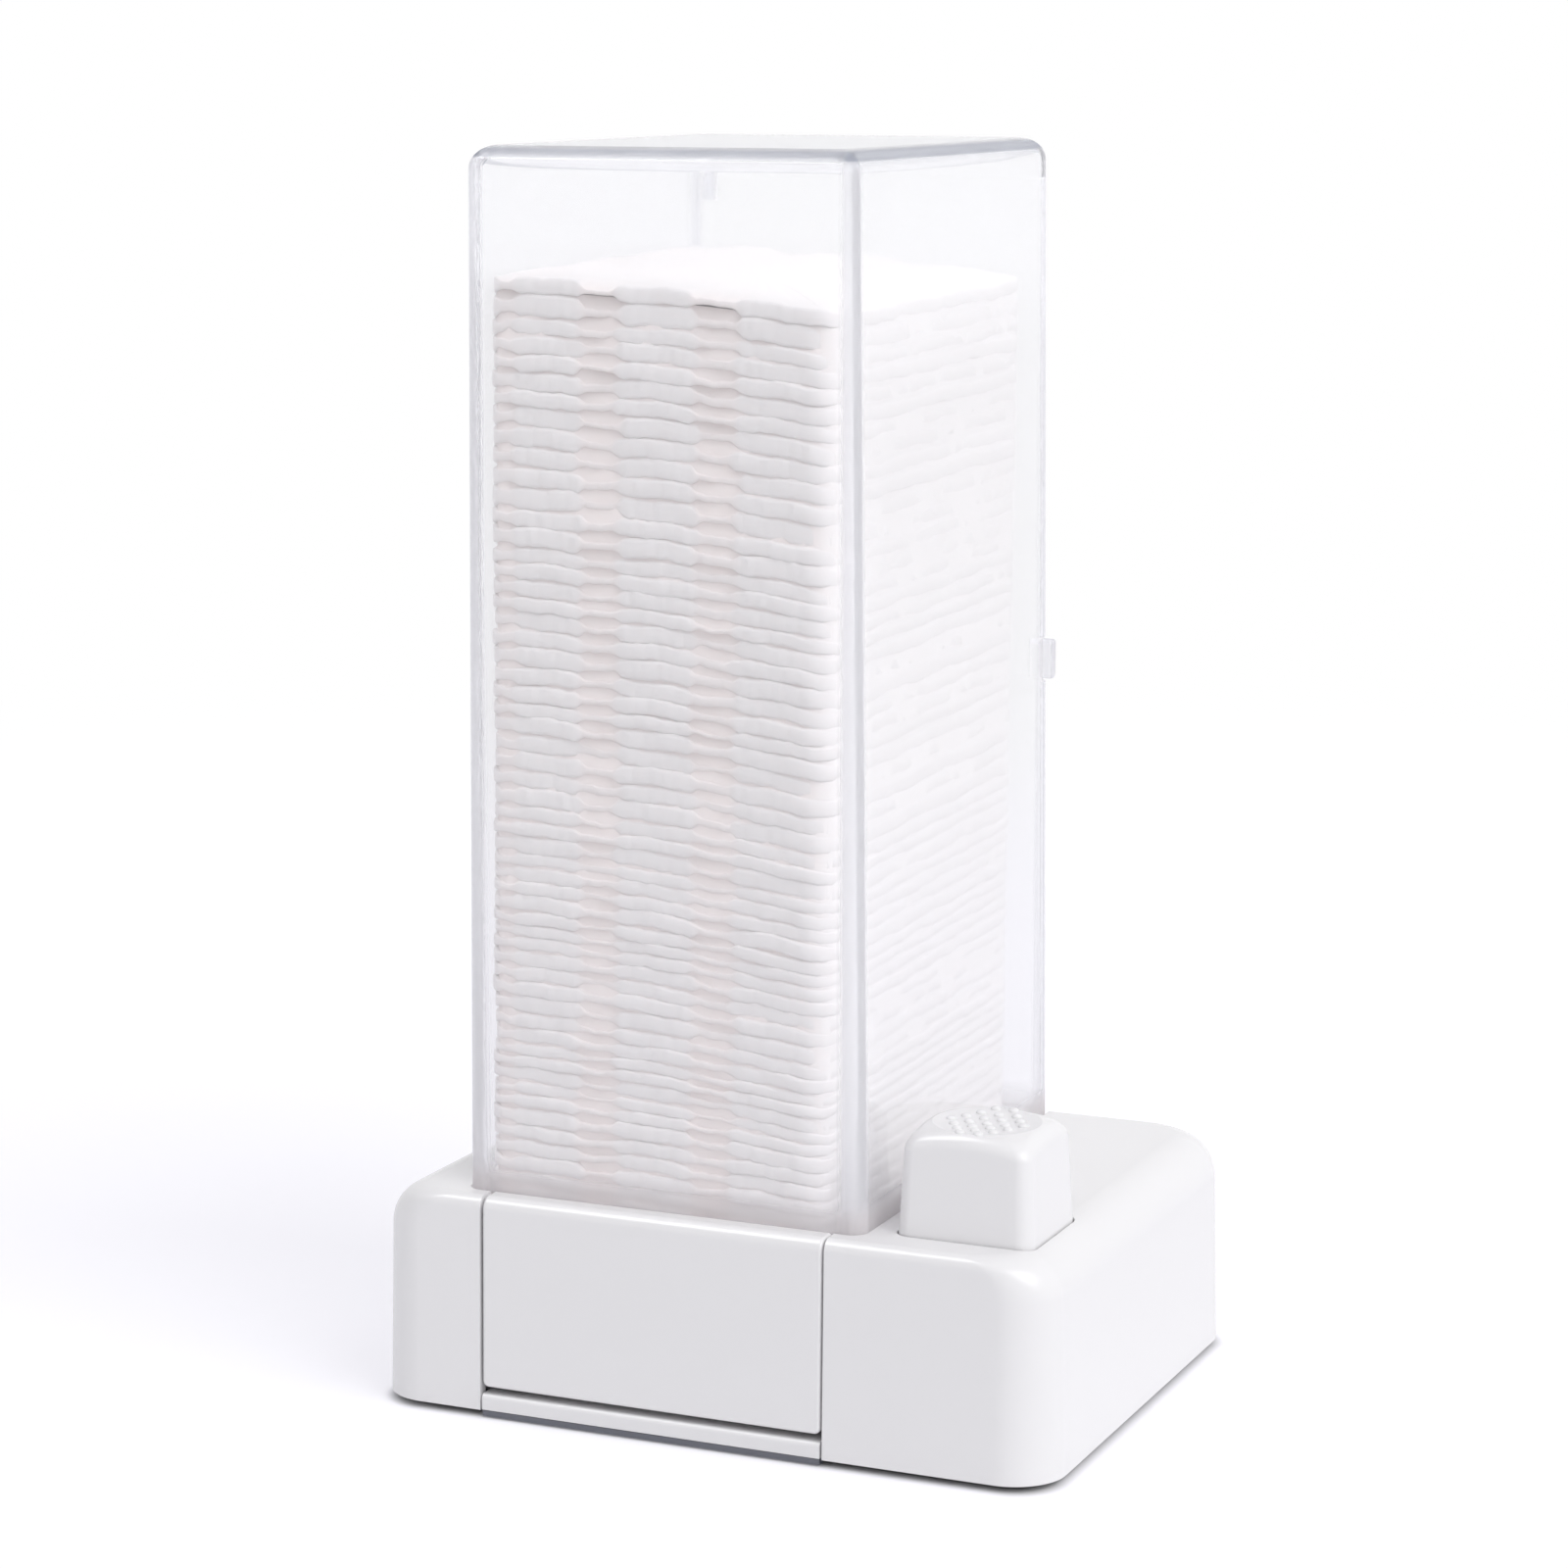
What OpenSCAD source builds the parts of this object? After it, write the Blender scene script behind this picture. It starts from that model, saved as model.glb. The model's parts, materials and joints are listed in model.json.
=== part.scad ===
// Push-button cotton pad holder: a clear tower of square pads on a white base.
// Pressing the button drives a rack, an idler and a stepped gear, which slide
// the tray forward by twice the press and carry the lowest pad out of the slot.
// Millimetres, +Z up. The origin is on the ground, under the middle of the base.

/* [Pads] */
// Width of one pad, across the holder
pad_w = 59; // [50:0.5:64]
// Depth of one pad, front to back
pad_d = 77.4; // [66:0.2:84]
// Corner radius of a pad
pad_corner_r = 4; // [1:0.5:8]
// Number of pads in the stack, without the one on the tray
pad_count = 70; // [10:1:70]
// Spacing of the pads at the bottom of the stack, where they are pressed
pad_pitch_low = 1.9; // [1.4:0.1:2.2]
// Spacing of the pads at the top of the stack
pad_pitch_high = 3.1; // [2.4:0.1:3.3]
// Thickness of the pad on the tray
lowest_pad_t = 1.05; // [0.8:0.05:1.6]
// Spare width beside the stack in the tower
pad_side_play = 6; // [3:0.5:10]
// Gap between the stack and the tower's front wall
pad_front_play = 0.5; // [0.4:0.1:2]
// Gap between the stack and the rear door
pad_rear_play = 2.2; // [2.1:0.1:4]

/* [Tower] */
// Height of the tower above the base
tower_h = 166.5; // [166.5:0.5:220]
// Wall of the clear tower
tower_wall = 2; // [1.8:0.1:2.6]
// Taper of the tower's left and right walls, degrees
tower_draft = 0.6; // [0.3:0.1:0.7]
// Radius of the tower's upright edges
tower_corner_r = 2.5; // [2.3:0.1:4]
// Radius of the tower's top edges
tower_top_r = 3.6; // [3:0.1:5]
// Depth to which the tower sits in the base
tower_seat = 5.5; // [4:0.5:6.5]
// Clearance around the tower in the base's opening
tower_play = 0.25; // [0.15:0.05:0.4]

/* [Base] */
// Width of the plain block left of the front panel
left_block_w = 19.75; // [19:0.25:30]
// Width of the block right of the front panel, which holds the button
right_block_w = 37.25; // [36.5:0.25:46]
// How far the tower's side walls stand outside the front panel's seams
tower_overlap = 4.5; // [3:0.5:6]
// Height of the base
base_h = 36.5; // [36.5:0.5:44]
// Wall of the base
base_wall = 2; // [1.6:0.1:2.2]
// Taper of the base's sides, degrees
base_draft = 1.3; // [0.8:0.1:1.5]
// Radius of the base's upright corners
base_corner_r = 8.8; // [7:0.2:10]
// Radius of the base's left and right top edges
base_side_fillet = 7; // [5:0.5:7]
// Radius of the base's front and rear top edges
base_front_fillet = 2; // [1.5:0.1:2.4]
// Strip of the base in front of the tower
base_front_strip = 5.1; // [5:0.1:8]
// Strip of the base behind the tower
base_rear_strip = 1.8; // [1.6:0.1:2.4]
// Height of the base's lower edge above the ground
base_edge_z = 1.2; // [1.1:0.1:1.5]

/* [Front] */
// Gap of the seam at each side of the front panel
seam = 0.45; // [0.3:0.05:0.6]
// Thickness of the tray's plate and of its front lip
tray_t = 2.6; // [2.2:0.1:3]
// Height of the output slot between the tray and the front panel
slot_h = 1.2; // [1.2:0.05:1.8]

/* [Button] */
// Width of the button
button_w = 22.5; // [22:0.5:25]
// Depth of the button
button_d = 21.5; // [19:0.5:23]
// Height of the button above the base, unpressed
button_rise = 17.8; // [15:0.2:20]
// Travel of the button
button_travel = 12; // [8:0.5:12]
// Wall of the button
button_wall = 2; // [1.6:0.1:2.2]
// Radius of the button's upright edges
button_corner_r = 2.6; // [2.4:0.1:4]
// Taper of the button's sides above the base, degrees
button_draft = 2.5; // [1:0.5:3]
// Radius of the button's domed top
button_crown_r = 36; // [32:1:60]
// Radius of the button's top edges
button_top_fillet = 2; // [1.5:0.1:2.6]
// Gap around the button in the base
button_play = 0.3; // [0.2:0.05:0.4]
// Distance from the button to the base's right side
button_right_inset = 6.05; // [5.25:0.2:8]
// Distance from the button to the base's front
button_front_inset = 8; // [7.5:0.5:10]
// Radius of the round finger dish in the button
dish_r = 8.6; // [7:0.2:9]
// Depth of the finger dish below its rim
dish_depth = 0.5; // [0.3:0.1:0.8]
// Spacing of the grip dots in the dish
dot_pitch = 3; // [2.6:0.1:3]
// Radius of one grip dot
dot_r = 0.8; // [0.5:0.1:1.1]

/* [Mechanism] */
// Teeth of the idler between the button's rack and the stepped gear
idler_teeth = 12; // [12:1:13]
// Teeth of the stepped gear's small wheel
pinion_teeth = 10; // [10:1:11]
// Teeth of the stepped gear's large wheel
wheel_teeth = 20; // [19:1:20]
// Backlash taken off each tooth
backlash = 0.1; // [0.06:0.02:0.16]
// Radius of the gear axles
axle_r = 1.5; // [1.2:0.1:1.6]
// Radial clearance of each gear on its axle
axle_play = 0.05; // [0.03:0.01:0.09]
// Wire diameter of the return spring
spring_wire = 0.9; // [0.6:0.1:1.1]
// Turns of the return spring
spring_turns = 9; // [6:1:10]

/* [Hidden] */
$fn = 64;
eps = 0.01;

// The tower goes round the pads, and the base goes round the tower
tower_inner_w = pad_w + pad_side_play;
tower_w = tower_inner_w + 2 * tower_wall;
tower_d = pad_d + pad_front_play + pad_rear_play + 2 * tower_wall;
bay_w = tower_w - 2 * tower_overlap;
base_w = left_block_w + bay_w + right_block_w;
base_d = base_front_strip + tower_d + base_rear_strip;
bay_x = left_block_w + bay_w / 2 - base_w / 2;
bay_left = bay_x - bay_w / 2;
bay_right = bay_x + bay_w / 2;
tower_top = base_h + tower_h;
tower_seat_z = base_h - tower_seat;
tower_front = -base_d / 2 + base_front_strip;
tower_rear = tower_front + tower_d;
tower_inner_front = tower_front + tower_wall;
tower_inner_rear = tower_rear - tower_wall;

// Floor levels, from the ground up
foot_t = 1.5;
foot_r = 5;
foot_play = 0.1;
foot_x = base_w / 2 - 10.5;
foot_y = base_d / 2 - 10.5;
plate_z = 0.3;
plate_thin_top = 1.25;
plate_top = 3;
plate_play = 0.3;
slide_play = 0.1;
tray_z = plate_thin_top + slide_play;
tray_top = tray_z + tray_t;
gate_z = tray_top + slot_h;
lowest_pad_z = tray_top + 0.1;
stack_z = gate_z + 0.2;

// Tray, rails and its rear step
tray_side_play = 0.4;
tray_w = bay_w - 2 * tray_side_play;
tray_front = -base_d / 2;
step_t = 1.1;
step_y = tower_inner_front + pad_front_play + pad_d + 0.2;
tray_rear = step_y + step_t;
lip_r = 0.8;
rail_play = 0.1;
grip_w = 4;
grip_depth = 0.5;
grip_offset = 17;
grip_end = 6;

// Pad well under the tower
well_wall = 1.6;
well_x = tower_inner_w / 2;
well_front = tower_inner_front;
well_rear = tower_inner_rear - 1.4;
well_bottom = gate_z + 0.15;
socket_wall = 1.6;

// Button and its place
button_right = base_w / 2 - button_right_inset;
button_x = button_right - button_w / 2;
button_front = -base_d / 2 + button_front_inset;
button_y = button_front + button_d / 2;
button_rear = button_front + button_d;
button_left = button_x - button_w / 2;
button_top = base_h + button_rise;
button_flange = 1.2;
button_flange_t = 1.5;
button_flange_inset = 2;
button_skirt_z = base_h - base_wall - 0.3 - button_flange_t;
button_stem_rise = 9.5;

// Guide post, stem and spring
post_r = 2;
post_flange_r = 5.4;
post_flange_t = 1.2;
post_x = button_x + 4.9;
post_y = button_y - 0.8;
stem_r = 5.2;
stem_z = base_h - 6.5;
post_top = stem_z - 2;
stem_play = 0.1;
spring_seat_z = plate_top + post_flange_t;
spring_r = 3.9;
spring_sides = 6;
spring_rings = 8;

// Gear train: module 1, pressure angle 25 degrees
gear_module = 1;
pressure = 25;
addendum = 0.9 * gear_module;
dedendum = 1.2 * gear_module;
tooth_pitch = PI * gear_module;
idler_r = idler_teeth * gear_module / 2;
pinion_r = pinion_teeth * gear_module / 2;
wheel_r = wheel_teeth * gear_module / 2;
rack_w = 3.35;
rack_back = 2.8;
rack_x = button_left + button_wall + button_stem_rise * tan(button_draft) + 0.02;
rack_pitch_y = button_rear - 1.5;
idler_y = rack_pitch_y + idler_r;
idler_z = 16;
tray_rack_pitch_z = tray_top + 1.45 + dedendum;
wheel_z = tray_rack_pitch_z + wheel_r;
axle_rise = wheel_z - idler_z;
axle_gap = idler_r + pinion_r;
wheel_y = idler_y + sqrt(axle_gap * axle_gap - axle_rise * axle_rise);
train_angle = atan2(axle_rise, wheel_y - idler_y);
idler_phase = 180;
pinion_phase = train_angle + 180 + (train_angle - idler_phase) * idler_teeth / pinion_teeth
    + 180 / pinion_teeth;
wheel_phase = 270;
tray_ratio = wheel_r / pinion_r;
tray_travel = button_travel * tray_ratio;

// Places along the gear axles
bracket_t = 2;
bracket_x = rack_x - 3.05;
idler_x = rack_x - 0.25;
idler_w = 3.4;
wheel_x = rack_x + 4.25;
wheel_w = 4;
hub_r = 3.2;
hub_w = 1.3;
hub_x = rack_x - 0.85;
bracket_right_x = wheel_x + wheel_w + 1.5;
bracket_roof_t = 1.7;
bracket_roof_play = 1.3;
bracket_top = wheel_z + wheel_r + addendum + bracket_roof_play + bracket_roof_t;
bracket_foot_w = 6.5;
bracket_front = idler_y - 2.9;
bracket_rear = wheel_y + 5;
bracket_half = 8;
head_r = 2.2;
head_t = 0.7;

// Arm and rack of the tray
arm_w = 6;
rack_front_y = wheel_y - 4.4;
arm_y = wheel_y + tray_travel + 2.7;
rack_rear_y = arm_y + arm_w;
sweep_play = 0.6;

// Screws
screw_r = 1.2;
screw_head_r = 2.4;
screw_head_t = 1.4;
screw_play = 0.05;
screw_hole_play = 0.15;
screw_len = 11;
boss_r = 3;
left_screw_x = -base_w / 2 + 10;
right_screw_x = base_w / 2 - 6;
bracket_screw_gap = 5;
left_screw_inset = 25.5;
right_screw_inset = 21.5;
left_screw_y = base_d / 2 - left_screw_inset;
right_screw_y = base_d / 2 - right_screw_inset;
button_screw_gap = boss_r + button_flange + 0.3;
rack_screw_r = 0.7;
rack_screw_head_r = 1.2;
rack_screw_head_t = 0.5;
rack_screw_len = 7;

// Rear door, hinged at the left
door_t = tower_wall;
door_play = 0.3;
door_z = base_h + 0.8;
door_top = tower_top - 7;
barrel_r = 1.7;
pin_r = 0.8;
pin_play = 0.05;
pin_len = 4;
taper_top = (door_top - base_h) * tan(tower_draft);
hinge_x = bay_x - tower_inner_w / 2 + taper_top + door_play + barrel_r + 0.3;
hinge_y = tower_rear - barrel_r;
hinge_gap = 0.5;
tab_rise = 75.8;
tab_z = base_h + tab_rise;
tab_h = 6.7;
tab_out = 1.2;
tab_d = 2.8;
tab_play = 0.4;
stop_t = 1.1;
stop_in = 1.6;
stop_end = 5;
door_gap = 0.4;

white = [0.93, 0.93, 0.95];
clear = [0.88, 0.90, 0.93, 0.35];
dark_grey = [0.40, 0.41, 0.44];
rubber_grey = [0.25, 0.25, 0.27];
cotton = [0.95, 0.93, 0.90];
steel = [0.72, 0.73, 0.75];
gear_white = [0.86, 0.87, 0.84];

// Rectangle with round corners, about its middle
module round_rect(w, d, r) {
    square([w - 2 * r, d], center = true);
    square([w, d - 2 * r], center = true);
    for (x = [-1, 1], y = [-1, 1])
        translate([x * (w / 2 - r), y * (d / 2 - r)]) circle(r);
}

// Distance of a top fillet's centre from the middle, where the side leans in
function fillet_centre(half, top, r, lean) = half - (r + (top - r) * sin(lean)) / cos(lean);

// Upright outline with leaning sides and a round edge at each side of its top
module loaf_profile(half, bottom, top, r_low, r_high, lean) {
    low = fillet_centre(half, top, r_low, lean);
    high = fillet_centre(half, top, r_high, lean);
    foot = half - bottom * tan(lean);
    polygon([[-foot, bottom], [foot, bottom],
        [high + r_high * cos(lean), top - r_high + r_high * sin(lean)], [high, top],
        [-low, top], [-low - r_low * cos(lean), top - r_low + r_low * sin(lean)]]);
    translate([-low, top - r_low]) circle(r_low);
    translate([high, top - r_high]) circle(r_high);
}

// Stretch an outline in XZ along Y, or one in YZ along X, to both sides
module along_y(length) rotate([90, 0, 0]) linear_extrude(length, center = true) children();
module along_x(length) rotate([90, 0, 90]) linear_extrude(length, center = true) children();

// The base's outer form, moved inwards by inset
module base_block(inset) {
    half_w = base_w / 2 - inset;
    half_d = base_d / 2 - inset;
    top = base_h - inset;
    corner = base_corner_r - inset;
    corner_top = corner - top * tan(base_draft);
    side_r = base_side_fillet - inset;
    front_r = max(base_front_fillet - inset, 0.6);
    lean_w = half_w - top * tan(base_draft);
    lean_d = half_d - top * tan(base_draft);
    intersection() {
        union() {
            along_y(2 * (half_d - corner))
                polygon([[-half_w, 0], [half_w, 0], [lean_w, top], [-lean_w, top]]);
            along_x(2 * (half_w - corner))
                polygon([[-half_d, 0], [half_d, 0], [lean_d, top], [-lean_d, top]]);
            for (x = [-1, 1], y = [-1, 1])
                translate([x * (half_w - corner), y * (half_d - corner), 0])
                    cylinder(h = top, r1 = corner, r2 = corner_top);
        }
        along_y(2 * base_d) loaf_profile(half_w, 0, top, side_r, side_r, base_draft);
        along_x(2 * base_w) loaf_profile(half_d, 0, top, front_r, front_r, base_draft);
    }
}

// Plan of the tower with its outer side on x = 0 and round corners there
module tower_plan(front, rear, r) {
    reach = 2 * tower_w;
    translate([-reach, front]) square([reach - r, rear - front]);
    translate([-reach, front + r]) square([reach, rear - front - 2 * r]);
    for (y = [front + r, rear - r]) translate([-r, y]) circle(r);
}

// One leaning side of the tower: 1 is the right side, -1 the left
module tower_side(side, inset, bottom) {
    r = max(tower_corner_r - inset, 0.6);
    translate([bay_x + side * (tower_w / 2 - inset), 0, base_h])
        rotate([0, -side * tower_draft, 0])
            translate([0, 0, bottom - base_h - 2])
                linear_extrude(tower_top - bottom + 4)
                    mirror([side < 0 ? 1 : 0, 0])
                        tower_plan(tower_front + inset, tower_rear - inset, r);
}

// The tower's outer form, moved inwards by inset
module tower_block(inset, bottom) {
    r = tower_top_r - inset;
    top = tower_top - base_h - inset;
    middle_y = (tower_front + tower_rear) / 2;
    intersection() {
        tower_side(1, inset, bottom);
        tower_side(-1, inset, bottom);
        translate([bay_x, middle_y, base_h]) along_y(2 * tower_d)
            loaf_profile(tower_w / 2 - inset, bottom - base_h, top, r, r, tower_draft);
        translate([bay_x, middle_y, base_h]) along_x(2 * tower_w)
            loaf_profile(tower_d / 2 - inset, bottom - base_h, top, r, r, 0);
    }
}

// Box from its low corner to its high corner
module span(low, high) translate(low) cube(high - low);

// Cylinder along X from x0 to x1
module rod_x(x0, x1, y, z, r) translate([x0, y, z]) rotate([0, 90, 0]) cylinder(h = x1 - x0, r = r);

// The places of the screws that hold the bottom plate
screw_places = [[left_screw_x, -left_screw_y], [left_screw_x, left_screw_y],
    [right_screw_x, button_rear + button_screw_gap], [right_screw_x, right_screw_y]];

module base_shell() {
    opening = tower_w / 2 + tower_play;
    color(white) difference() {
        union() {
            difference() {
                base_block(0);
                translate([0, 0, -eps]) base_block(base_wall);
            }
            intersection() {
                base_block(0);
                for (p = screw_places)
                    translate([p[0], p[1], plate_top]) cylinder(h = base_h, r = boss_r);
            }
        }
        span([-base_w, -base_d, -1], [base_w, base_d, base_edge_z]);
        span([bay_left, -base_d, -1], [bay_right, tower_front - tower_play, base_h + 1]);
        translate([0, 0, tower_seat_z]) linear_extrude(base_h) tower_opening_plan(opening);
        translate([button_x, button_y, base_h / 2]) linear_extrude(base_h)
            round_rect(button_w + 2 * button_play, button_d + 2 * button_play,
                button_corner_r + button_play);
        for (p = screw_places)
            translate([p[0], p[1], plate_top - 1])
                cylinder(h = screw_len + 1, r = screw_r + screw_play);
    }
}

// Plan of the base's opening for the tower, which runs out at the back
module tower_opening_plan(half) {
    r = tower_corner_r + tower_play;
    front = tower_front - tower_play;
    translate([bay_x - half, front + r]) square([2 * half, base_d]);
    translate([bay_x - half + r, front]) square([2 * (half - r), base_d]);
    for (x = [-1, 1]) translate([bay_x + x * (half - r), front + r]) circle(r);
}

module front_panel() {
    panel_w = bay_w - 2 * seam;
    foot_corner = 1;
    stud_w = 8;
    stud_gap = 15;
    stud_z = 14;
    color(white) {
        difference() {
            intersection() {
                base_block(0);
                translate([bay_x, 0, gate_z + base_h]) along_y(2 * base_d)
                    round_rect(panel_w, 2 * base_h, foot_corner);
                span([-base_w, -base_d, gate_z], [base_w, tower_front - tower_play, base_h + 1]);
            }
            base_block(base_wall);
        }
        intersection() {
            base_block(base_wall / 2);
            for (x = [-1, 1])
                translate([bay_x + x * stud_gap - stud_w / 2, -base_d / 2, stud_z])
                    cube([stud_w, base_front_strip + tower_wall - well_wall, stud_w]);
        }
    }
}

// Everything on the bottom plate that the tray's arm and rack pass over
module tray_sweep(bottom, top) {
    span([wheel_x - sweep_play, rack_front_y - tray_travel - sweep_play, bottom],
        [wheel_x + wheel_w + sweep_play, rack_rear_y + sweep_play, top]);
    span([bay_right - sweep_play, arm_y - tray_travel - sweep_play, bottom],
        [wheel_x + wheel_w, rack_rear_y + sweep_play, top]);
}

module bottom_plate() {
    inset = base_wall + plate_play;
    color(dark_grey) difference() {
        union() {
            translate([0, 0, plate_z]) linear_extrude(plate_top - plate_z)
                round_rect(base_w - 2 * inset, base_d - 2 * inset, base_corner_r - inset);
            span([bay_left + seam, -base_d / 2 + 0.05, plate_z],
                [bay_right - seam, 0, plate_thin_top]);
        }
        span([bay_left, -base_d, plate_thin_top], [bay_right, base_d, base_h]);
        tray_sweep(plate_thin_top, base_h);
        for (x = [-1, 1], y = [-1, 1])
            translate([x * foot_x, y * foot_y, -1]) cylinder(h = foot_t + 1, r = foot_r + foot_play);
        for (p = screw_places) translate([p[0], p[1], -1]) {
            cylinder(h = plate_z + screw_head_t + 1.2, r = screw_head_r + screw_hole_play);
            cylinder(h = base_h, r = screw_r + screw_hole_play);
        }
        for (y = [-1, 1])
            translate([bracket_right_x + bracket_t + bracket_foot_w / 2,
                wheel_y + y * bracket_screw_gap, plate_z + 0.6])
                cylinder(h = base_h, r = screw_r + screw_play);
    }
}

module feet() {
    color(rubber_grey) for (x = [-1, 1], y = [-1, 1])
        translate([x * foot_x, y * foot_y, 0]) cylinder(h = foot_t, r = foot_r);
}

module plate_screws() {
    head_z = plate_z + 0.2;
    color(steel) for (p = screw_places) translate([p[0], p[1], head_z]) {
        cylinder(h = screw_head_t, r = screw_head_r);
        cylinder(h = screw_len, r = screw_r);
    }
}

module pad_well() {
    socket_x = tower_w / 2 + tower_play;
    socket_front = tower_front - tower_play;
    socket_top = base_h - base_wall;
    outer_x = well_x + well_wall;
    color(white) difference() {
        union() {
            span([bay_x - outer_x, well_front - well_wall, plate_top],
                [bay_x + outer_x, well_rear + well_wall, tower_seat_z]);
            difference() {
                span([bay_x - socket_x - socket_wall, socket_front - socket_wall,
                    tower_seat_z - socket_wall], [bay_x + socket_x + socket_wall, well_rear,
                    socket_top]);
                span([bay_x - socket_x, socket_front, tower_seat_z],
                    [bay_x + socket_x, base_d, base_h]);
            }
        }
        span([bay_x - well_x, well_front, -1], [bay_x + well_x, well_rear, base_h]);
        span([bay_left, -base_d, -1], [bay_right, base_d, well_bottom]);
        span([0, arm_y - tray_travel - sweep_play, -1],
            [base_w, rack_rear_y + sweep_play, well_bottom]);
    }
}

// Slide strips that guide the tray, with a break where its arm passes
module tray_rails() {
    rail_top = well_bottom - rail_play;
    left = [bay_x - well_x + rail_play, bay_left - rail_play];
    right = [bay_right + rail_play, bay_x + well_x - rail_play];
    sweep_front = arm_y - tray_travel - sweep_play;
    sweep_rear = rack_rear_y + sweep_play;
    color(gear_white) {
        span([left[0], well_front, plate_top], [left[1], well_rear, rail_top]);
        span([right[0], well_front, plate_top], [right[1], sweep_front, rail_top]);
        span([right[0], sweep_rear, plate_top], [right[1], well_rear, rail_top]);
    }
}

module tray() {
    left = bay_x - tray_w / 2;
    right = bay_x + tray_w / 2;
    color(white) difference() {
        union() {
            span([left, tray_front + lip_r, tray_z], [right, tray_rear, tray_top]);
            span([left, tray_front, tray_z], [right, tray_front + 2 * lip_r, tray_top - lip_r]);
            rod_x(left, right, tray_front + lip_r, tray_top - lip_r, lip_r);
            span([left, step_y, tray_z], [right, tray_rear, lowest_pad_z + lowest_pad_t - 0.1]);
            span([right - eps, arm_y, tray_z], [wheel_x, rack_rear_y, tray_top]);
        }
        for (x = [-1, 1])
            span([bay_x + x * grip_offset - grip_w / 2, well_front + grip_end, tray_top - grip_depth],
                [bay_x + x * grip_offset + grip_w / 2, step_y - grip_end, tray_top + 1]);
        rod_x(wheel_x - rack_screw_len - 1, wheel_x + 1, arm_y + arm_w / 2, tray_z + tray_t / 2,
            rack_screw_r + screw_play);
    }
}

module tray_grips() {
    color(rubber_grey) for (x = [-1, 1])
        span([bay_x + x * grip_offset - grip_w / 2, well_front + grip_end, tray_top - grip_depth],
            [bay_x + x * grip_offset + grip_w / 2, step_y - grip_end, tray_top + 0.04]);
}

// Outline of one rack tooth about its own middle, standing on y = -dedendum
function rack_tooth(at, thin) = let (
        flank = tan(pressure),
        half = tooth_pitch / 4 - thin,
        low = half + dedendum * flank,
        high = half - addendum * flank
    ) [[at - low, -dedendum], [at - high, addendum], [at + high, addendum], [at + low, -dedendum]];

// Teeth of a straight rack between two places, with a space centred on zero
module rack_outline(from, to, back) {
    foot = tooth_pitch / 4 + dedendum * tan(pressure);
    translate([from, -dedendum - back]) square([to - from, back]);
    for (k = [floor(from / tooth_pitch) : ceil(to / tooth_pitch)])
        let (at = (k + 0.5) * tooth_pitch)
            if (at - foot > from && at + foot < to) polygon(rack_tooth(at, backlash));
}

module tray_rack() {
    back = tray_rack_pitch_z - dedendum - tray_z;
    color(gear_white) difference() {
        union() {
            translate([wheel_x + wheel_w / 2, wheel_y, tray_rack_pitch_z]) along_x(wheel_w)
                rack_outline(rack_front_y - wheel_y, arm_y - wheel_y, back);
            span([wheel_x, arm_y - eps, tray_z], [wheel_x + wheel_w, rack_rear_y, tray_z + back]);
        }
        rod_x(wheel_x - 1, wheel_x + wheel_w + 1, arm_y + arm_w / 2, tray_z + tray_t / 2,
            rack_screw_r + screw_play);
    }
}

module rack_screw() {
    head_x = wheel_x + wheel_w;
    y = arm_y + arm_w / 2;
    z = tray_z + tray_t / 2;
    color(steel) {
        rod_x(wheel_x - rack_screw_len, head_x, y, z, rack_screw_r);
        rod_x(head_x, head_x + rack_screw_head_t, y, z, rack_screw_head_r);
    }
}

// Outline of a pad across its two pressed furrows, standing on y = 0
furrow_half = 2;
function furrow(at, y, depth) = [[at - furrow_half, y], [at, y + depth], [at + furrow_half, y]];
function reversed(list) = [for (i = [len(list) - 1 : -1 : 0]) list[i]];
function pad_outline(t) = let (
        half = pad_w / 2,
        third = pad_w / 6,
        chamfer = min(0.3, t / 4),
        pinch = t * 0.28
    ) concat([[-half, chamfer], [-half + chamfer, 0]],
        furrow(-third, 0, pinch), furrow(third, 0, pinch),
        [[half - chamfer, 0], [half, chamfer], [half, t - chamfer], [half - chamfer, t]],
        reversed(furrow(third, t, -pinch)), reversed(furrow(-third, t, -pinch)),
        [[-half + chamfer, t], [-half, t - chamfer]]);

// One cotton pad standing on z = 0, about its own middle
module pad(t) {
    intersection() {
        along_y(2 * pad_d) polygon(pad_outline(t));
        translate([0, 0, -1]) linear_extrude(t + 2) round_rect(pad_w - 0.02, pad_d, pad_corner_r);
    }
}

pad_y = tower_inner_front + pad_front_play + pad_d / 2;

module lowest_pad() {
    color(cotton) translate([bay_x, pad_y, lowest_pad_z]) pad(lowest_pad_t);
}

// Height of pad i, whose spacing grows evenly up the stack
function pad_height(i) = stack_z + i * pad_pitch_low
    + (pad_pitch_high - pad_pitch_low) * i * i / (2 * pad_count);

// The stack leans on the left wall, which tapers in
function stack_x(z) = bay_x - tower_inner_w / 2 + pad_w / 2 + 0.7
    + max(z - base_h, 0) * tan(tower_draft);

module pad_stack() {
    gap = 0.2;
    drift = 0.25;
    color(cotton) for (i = [0 : pad_count - 1])
        let (z = pad_height(i), t = pad_height(i + 1) - z - gap)
            translate([stack_x(z) + drift * sin(i * 77), pad_y + 0.6 * drift * sin(i * 131), z])
                pad(t);
}

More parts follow.
